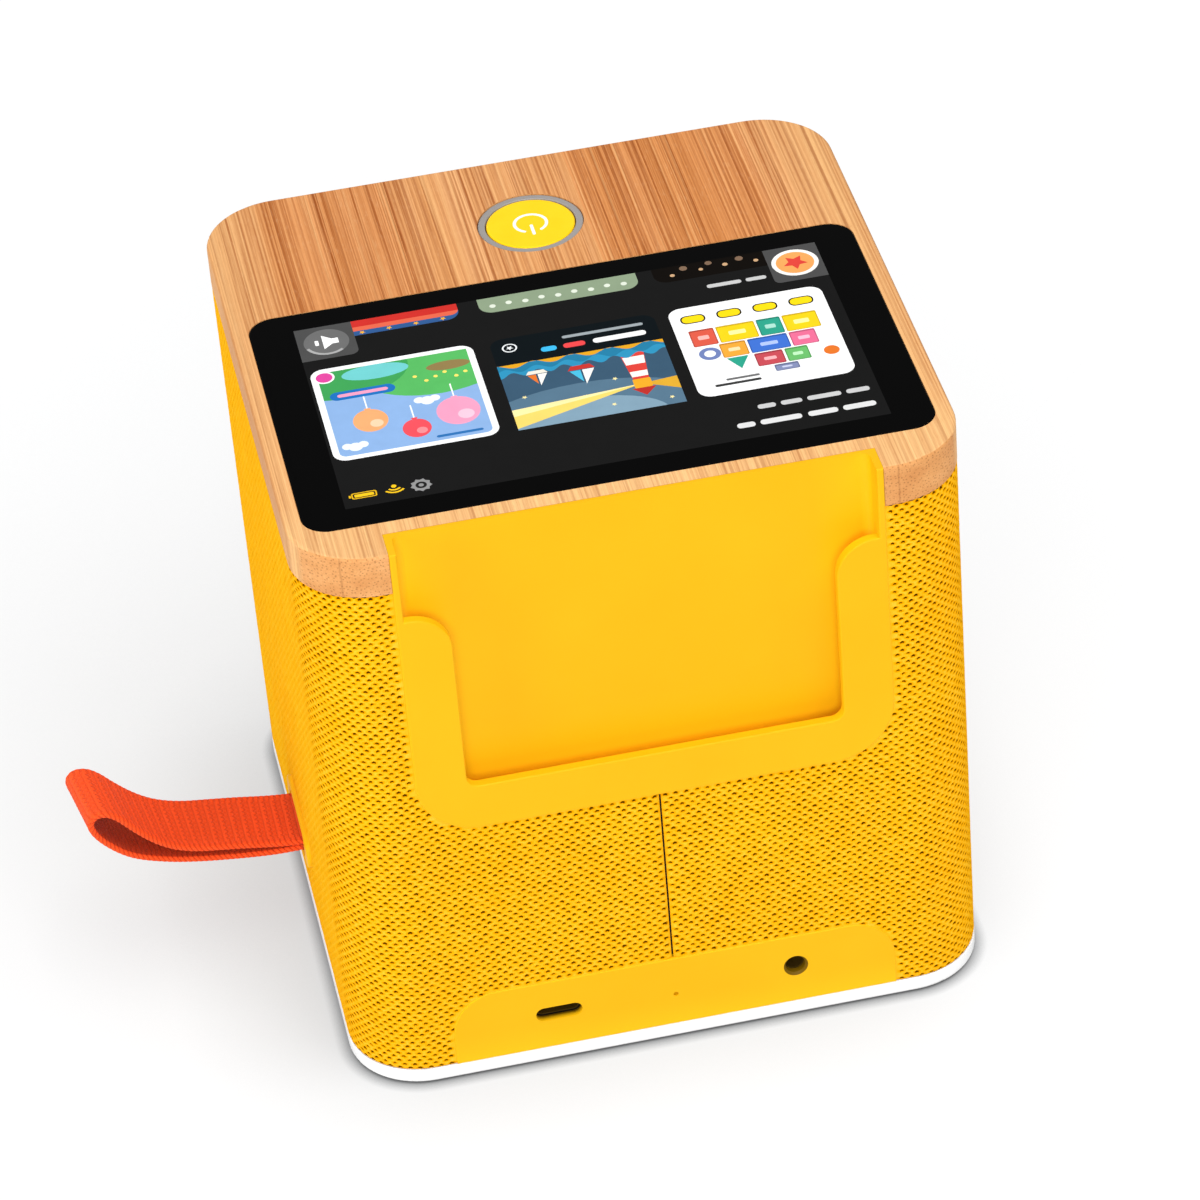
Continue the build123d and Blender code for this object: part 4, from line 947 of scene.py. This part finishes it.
    # status icons
    add(rrect(44.3, 49.0, 41.6, 43.5, 0.45), "#E8B71A")
    add(rrect(44.55, 48.75, 41.85, 43.25, 0.3), "#1A1A1A")
    add(rrect(44.85, 48.45, 42.1, 43.0, 0.2), "#F2C21E")
    add(rrect(49.1, 49.5, 42.15, 42.95, 0.12), "#E8B71A")
    add(disc(41.0, 41.5, 0.5, 14), "#F2C21E")
    for r in (1.15, 1.95):
        add(arc_band(41.0, 41.3, r, r + 0.42, 40, 140), "#F2C21E")
    add(star(36.1, 42.6, 2.05, 9, 0.80), "#8E8E8E")
    add(disc(36.1, 42.6, 1.05, 20), "#1E1E1E")
    add(disc(36.1, 42.6, 0.5, 14), "#8E8E8E")
    # title lines, as plain bars
    for x0, x1, y0, y1, c in ((-49.4, -43.2, 40.9, 42.5, "#DADADA"), (-42.2, -36.6, 40.9, 42.5, "#DADADA"), (-35.4, -27.6, 40.9, 42.5, "#DADADA"), (-26.6, -23.2, 40.9, 42.5, "#DADADA"),
                              (-49.4, -45.0, 36.0, 37.4, "#C4C4C4"), (-44.0, -37.6, 36.0, 37.4, "#C4C4C4"), (-36.6, -32.6, 36.0, 37.4, "#C4C4C4"), (-31.6, -28.2, 36.0, 37.4, "#C4C4C4"),
                              (-39.6, -35.6, -6.2, -5.0, "#C4C4C4"), (-34.7, -28.0, -6.2, -5.0, "#C4C4C4")):
        add(rrect(x0, x1, y0, y1, (y1 - y0) * 0.42), c)
    return L


def inside(px, py, poly):
    """Which points lie in the polygon, by the even-odd rule."""
    p_ = np.asarray(poly, float)
    q_ = np.roll(p_, -1, 0)
    hit = np.zeros(len(px), bool)
    for (x0, y0), (x1, y1) in zip(p_, q_):
        if y0 == y1:
            continue
        k = ((y0 > py) != (y1 > py)) & (px < (x1 - x0) * (py - y0) / (y1 - y0) + x0)
        hit ^= k
    return hit


def build_glass():
    L = screen_picture()
    verts, faces = [], []
    for poly, _ in L:
        poly = [q for k, q in enumerate(poly) if math.dist(q, poly[k - 1]) > 1e-4]
        if len(poly) < 3:
            continue
        area = sum(poly[k - 1][0] * poly[k][1] - poly[k][0] * poly[k - 1][1] for k in range(len(poly)))
        if area < 0:
            poly = poly[::-1]
        faces.append(list(range(len(verts), len(verts) + len(poly))))
        verts += poly
    ov, oe, of, _, _, _ = delaunay_2d_cdt([Vector(v) for v in verts], [], faces, 1, 1e-5)
    top = 125.4
    V = [(v[0], v[1], top) for v in ov]
    F = [list(f) for f in of]
    mid = np.array([[sum(V[q][0] for q in f) / len(f), sum(V[q][1] for q in f) / len(f)] for f in F])
    shade = np.tile(np.array(L[0][1]), (len(F), 1))
    for poly, c in L[1:]:
        shade[inside(mid[:, 0], mid[:, 1], poly)] = c
    colours = [tuple(v) for v in shade.tolist()]
    # the chamfer and the side of the glass
    n = 48
    GX, GY, R = 59.05, 36.1, 5.05
    rings = []
    for dx, z in ((0.15, top), (0.04, top - 0.05), (0.0, top - 0.16), (0.0, top - 1.05), (0.6, top - 1.05)):
        ring = rrect(-(GX - dx), GX - dx, 15.9 - (GY - dx), 15.9 + (GY - dx), max(0.2, R - dx), 12)
        rings.append(list(range(len(V), len(V) + len(ring))))
        V += [(p_[0], p_[1], z) for p_ in ring]
    for a, b in zip(rings[:-1], rings[1:]):
        m_ = len(a)
        for k in range(m_):
            F.append([a[k], b[k], b[(k + 1) % m_], a[(k + 1) % m_]])
            colours.append(lin("#040404"))
    F.append(rings[-1][::-1])
    colours.append(lin("#040404"))
    o = add_mesh("display_glass", np.array(V) * MM, F, M["screen"], False)
    me = o.data
    a = me.color_attributes.new("ui", "FLOAT_COLOR", "CORNER")
    buf = np.ones((len(me.loops), 4), np.float32)
    for p_, c in zip(me.polygons, colours):
        for li in p_.loop_indices:
            buf[li, :3] = c
    a.data.foreach_set("color", buf.ravel())
    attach(o, "housing")
    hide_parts("cover_glass")
    return o


build_glass()


# =============================================================== power symbol on the button
def build_symbol():
    cx, cy, zt = 0.0, -38.3, 125.25
    V, F = [], []

    def slab(poly):
        area = sum(poly[k - 1][0] * poly[k][1] - poly[k][0] * poly[k - 1][1] for k in range(len(poly)))
        if area < 0:
            poly = poly[::-1]
        n = len(poly)
        b = len(V)
        mx = sum(p_[0] for p_ in poly) / n
        my = sum(p_[1] for p_ in poly) / n
        for z in (zt - 0.10, zt + 0.035):
            V.extend((p_[0], p_[1], z) for p_ in poly)
        for k in range(n):
            w = (k + 1) % n
            F.append([b + k, b + w, b + n + w, b + n + k])
        F.append([b + n + k for k in range(n)])
        F.append([b + k for k in range(n)][::-1])

    r, w = 3.15, 0.62
    pts = arc_band(cx, cy, r - w / 2, r + w / 2, 122, 418, 44)
    a0, a1 = math.radians(122), math.radians(418)
    half = len(pts) // 2
    outer, inner = pts[:half], pts[half:]
    cap1 = [(cx + r * math.cos(a1) + w / 2 * math.cos(a1 + t), cy + r * math.sin(a1) + w / 2 * math.sin(a1 + t)) for t in np.linspace(0.25, math.pi - 0.25, 6)]
    cap0 = [(cx + r * math.cos(a0) + w / 2 * math.cos(a0 + t), cy + r * math.sin(a0) + w / 2 * math.sin(a0 + t)) for t in np.linspace(math.pi + 0.25, 2 * math.pi - 0.25, 6)]
    slab(outer + cap1 + inner + cap0)
    slab(rrect(cx - w / 2, cx + w / 2, cy + 0.55, cy + 4.25, w / 2 * 0.98, 6))
    o = add_mesh("power_symbol", np.array(V) * MM, F, M["symbol"], False)
    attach(o, "power_button")


build_symbol()


# =============================================================== dome under the button, which gives way when the cap is pressed; here a fixed mesh
def build_dome():
    rings = [(2.6, 116.7), (3.3, 115.917), (4.0, 115.133), (4.7, 114.35), (7.4, 114.35), (7.4, 114.9), (5.4, 114.9),
             (4.8, 115.525), (4.2, 116.15), (3.6, 116.775), (3.0, 117.4)]
    cy, n = -38.3, 48
    V = [(r * math.cos(2 * math.pi * k / n), cy + r * math.sin(2 * math.pi * k / n), z) for r, z in rings for k in range(n)]
    lo, hi = len(V), len(V) + 1
    V += [(0.0, cy, 116.7), (0.0, cy, 117.4)]
    F = []
    last = (len(rings) - 1) * n
    for k in range(n):
        w = (k + 1) % n
        F.append([lo, w, k])
        F += [[q * n + k, q * n + w, (q + 1) * n + w, (q + 1) * n + k] for q in range(len(rings) - 1)]
        F.append([last + k, last + w, hi])
    o = add_mesh("silicone_dome", np.array(V) * MM, F, M["silicone"], False)
    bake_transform(o)
    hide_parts("button_dome")


build_dome()


# =============================================================== strap
def closed_spline(pts, per=16):
    """Closed Catmull-Rom curve, centripetal, sampled evenly in its parameter on each span, then smoothed."""
    pts = np.array(pts, float)
    n = len(pts)
    out = []
    for k in range(n):
        p0, p1, p2, p3 = (pts[(k + q) % n] for q in (-1, 0, 1, 2))
        t0 = 0.0
        t1 = t0 + np.linalg.norm(p1 - p0) ** 0.5
        t2 = t1 + np.linalg.norm(p2 - p1) ** 0.5
        t3 = t2 + np.linalg.norm(p3 - p2) ** 0.5
        for q in range(per):
            t = t1 + (t2 - t1) * q / per
            a1 = (t1 - t) / (t1 - t0) * p0 + (t - t0) / (t1 - t0) * p1
            a2 = (t2 - t) / (t2 - t1) * p1 + (t - t1) / (t2 - t1) * p2
            a3 = (t3 - t) / (t3 - t2) * p2 + (t - t2) / (t3 - t2) * p3
            b1 = (t2 - t) / (t2 - t0) * a1 + (t - t0) / (t2 - t0) * a2
            b2 = (t3 - t) / (t3 - t1) * a2 + (t - t1) / (t3 - t1) * a3
            out.append((t2 - t) / (t2 - t1) * b1 + (t - t1) / (t2 - t1) * b2)
    c = np.array(out)
    for _ in range(10):
        c = (np.roll(c, 1, 0) + 2 * c + np.roll(c, -1, 0)) / 4
    return c


def build_strap():
    lower = [(63.5, 19.08), (69.0, 19.10), (77.1, 19.85), (85.1, 20.95), (91.5, 22.35), (98.0, 24.8), (102.6, 28.7), (104.9, 32.2)]
    upper = [(105.1, 34.5), (103.8, 35.85), (101.7, 35.75), (99.6, 34.3), (97.2, 31.6), (94.2, 28.5), (91.0, 26.0), (88.0, 24.5), (84.5, 23.45), (80.0, 22.75), (74.8, 22.0), (68.5, 20.95), (63.5, 20.42)]
    back = [(59.6, 20.46), (56.6, 21.35), (54.2, 22.06), (52.3, 21.0), (51.9, 19.75), (52.3, 18.5), (54.2, 17.44), (56.6, 18.15), (59.6, 19.04)]
    c = closed_spline(lower + upper + back, 16)
    seg = np.linalg.norm(np.roll(c, -1, 0) - c, axis=1)
    L = seg.sum()
    cum = np.concatenate([[0], np.cumsum(seg)])
    cc = np.vstack([c, c[:1]])
    NS = 460
    u = np.linspace(0, L, NS, endpoint=False)
    px, pz = np.interp(u, cum, cc[:, 0]), np.interp(u, cum, cc[:, 1])
    tx = np.roll(px, -1) - np.roll(px, 1)
    tz = np.roll(pz, -1) - np.roll(pz, 1)
    ln = np.hypot(tx, tz)
    tx, tz = tx / ln, tz / ln
    nx, nz = tz, -tx                      # outwards
    T, Wd = 1.35, 16.0
    RIB = L / round(L / 2.2)
    rows, w_, side_, lift_ = [], [], [], []
    NA = 46
    ws = np.linspace(-7.45, 7.45, NA)
    prof = [(a, 1.0) for a in ws]
    eh = 7
    prof += [(7.45 + 0.55 * math.sin(math.pi * k / (eh + 1)), math.cos(math.pi * k / (eh + 1))) for k in range(1, eh + 1)]
    prof += [(a, -1.0) for a in ws[::-1]]
    prof += [(-7.45 - 0.55 * math.sin(math.pi * k / (eh + 1)), -math.cos(math.pi * k / (eh + 1))) for k in range(1, eh + 1)]
    M_ = len(prof)
    aw = np.array([p_[0] for p_ in prof])
    ah = np.array([p_[1] for p_ in prof])
    isflat = (np.abs(aw) <= 7.4501) & (np.abs(np.abs(ah) - 1) < 1e-6)
    ph = (u % RIB) / RIB
    rib = np.sqrt(np.maximum(0, 1 - (2 * ph - 1) ** 2))            # 0 in the groove, 1 on the rib
    depth = 0.085
    U, A = np.meshgrid(np.arange(NS), np.arange(M_), indexing="ij")
    loops = 0.5 + 0.5 * np.cos(2 * math.pi * aw[A] / 1.36 + 0.9 * (ph[U] - 0.5))
    sel = np.clip((np.abs(aw[A]) - 6.6) / 0.5, 0, 1)
    braid = 0.5 + 0.5 * np.sin(2 * math.pi * u[U] * (2.2 / RIB) / 1.10 + 3.4 * ah[A])
    cutf = depth * (1 - rib[U]) * (1 - sel) + 0.035 * (1 - loops) * (1 - sel) + 0.05 * (1 - braid) * sel
    half = T / 2 - cutf
    # far edge reaches a little further out than the near one
    far = np.clip((px - 70) / 34, 0, 1)
    far = far * far * (3 - 2 * far)
    skew = ((8 - aw[A]) / 16 * 1.5 - (8 + aw[A]) / 16 * 1.2) * far[U]
    X = px[U] + nx[U] * ah[A] * half + skew
    Z = pz[U] + nz[U] * ah[A] * half
    wob = 0.10 * np.sin(u[U] / 7.0)
    Y = aw[A] - (0.06 * (1 - braid)) * sel * np.sign(aw[A])
    V = np.stack([X, Y, Z], -1).reshape(-1, 3) * MM
    F = []
    for k in range(NS):
        k2 = (k + 1) % NS
        for q in range(M_):
            q2 = (q + 1) % M_
            F.append([k * M_ + q, k * M_ + q2, k2 * M_ + q2, k2 * M_ + q])
    o = add_mesh("webbing_strap", V, F, M["web"], True)
    # which way round the faces look
    import bmesh
    bm = bmesh.new()
    bm.from_mesh(o.data)
    bmesh.ops.recalc_face_normals(bm, faces=bm.faces)
    bm.to_mesh(o.data)
    bm.free()
    s_attr = u[U] * (2.2 / RIB)
    put_attr(o, "web", "FLOAT_VECTOR", np.stack([s_attr, aw[A], np.where(isflat[A], ah[A], 0.0)], -1).reshape(-1, 3))
    put_attr(o, "lift", "FLOAT", ah[A].reshape(-1))
    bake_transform(o)
    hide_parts("strap_webbing", "strap_tail")
    return o


build_strap()

# =============================================================== floor
floor_mat = Mat("floor_white")
fp = floor_mat.pos()


def occlusion(distance, normal=None, samples=6):
    n = floor_mat.t.nodes.new("ShaderNodeAmbientOcclusion")
    n.samples = samples
    n.inputs["Distance"].default_value = distance
    if normal:
        v = Vector(normal).normalized()
        floor_mat.put(n, "Normal", floor_mat.vec(v.x, v.y, v.z))
    return n.outputs["AO"]


def darken(k, ao):
    return floor_mat.math("SUBTRACT", 1.0, floor_mat.math("MULTIPLY", k, floor_mat.math("SUBTRACT", 1.0, ao)))


# a neutral soft shadow: the contact line, then the open sky as seen towards the key light
near = floor_mat.math("POWER", occlusion(0.0028, samples=8), 1.4)
cast = darken(0.28, occlusion(0.032, (-0.33, -0.09, 0.94)))
wide = darken(0.46, occlusion(0.300, (-0.235, 0.875, 0.423), samples=10))
shade = floor_mat.math("MULTIPLY", near, floor_mat.math("MULTIPLY", cast, wide))
floor_mat.set(Base_Color=floor_mat.mix(floor_mat.noise(fp, 3.0, 2.0), (0.10, 0.103, 0.106), (0.104, 0.107, 0.110)), Roughness=0.9, Specular_IOR_Level=0.0,
              Emission_Color=(1.0, 1.0, 1.0, 1.0), Emission_Strength=floor_mat.math("MULTIPLY", shade, 0.93))
fl = add_mesh("floor", np.array([(-4, -4, 0), (4, -4, 0), (4, 4, 0), (-4, 4, 0)], float), [[0, 1, 2, 3]], floor_mat.m, False)
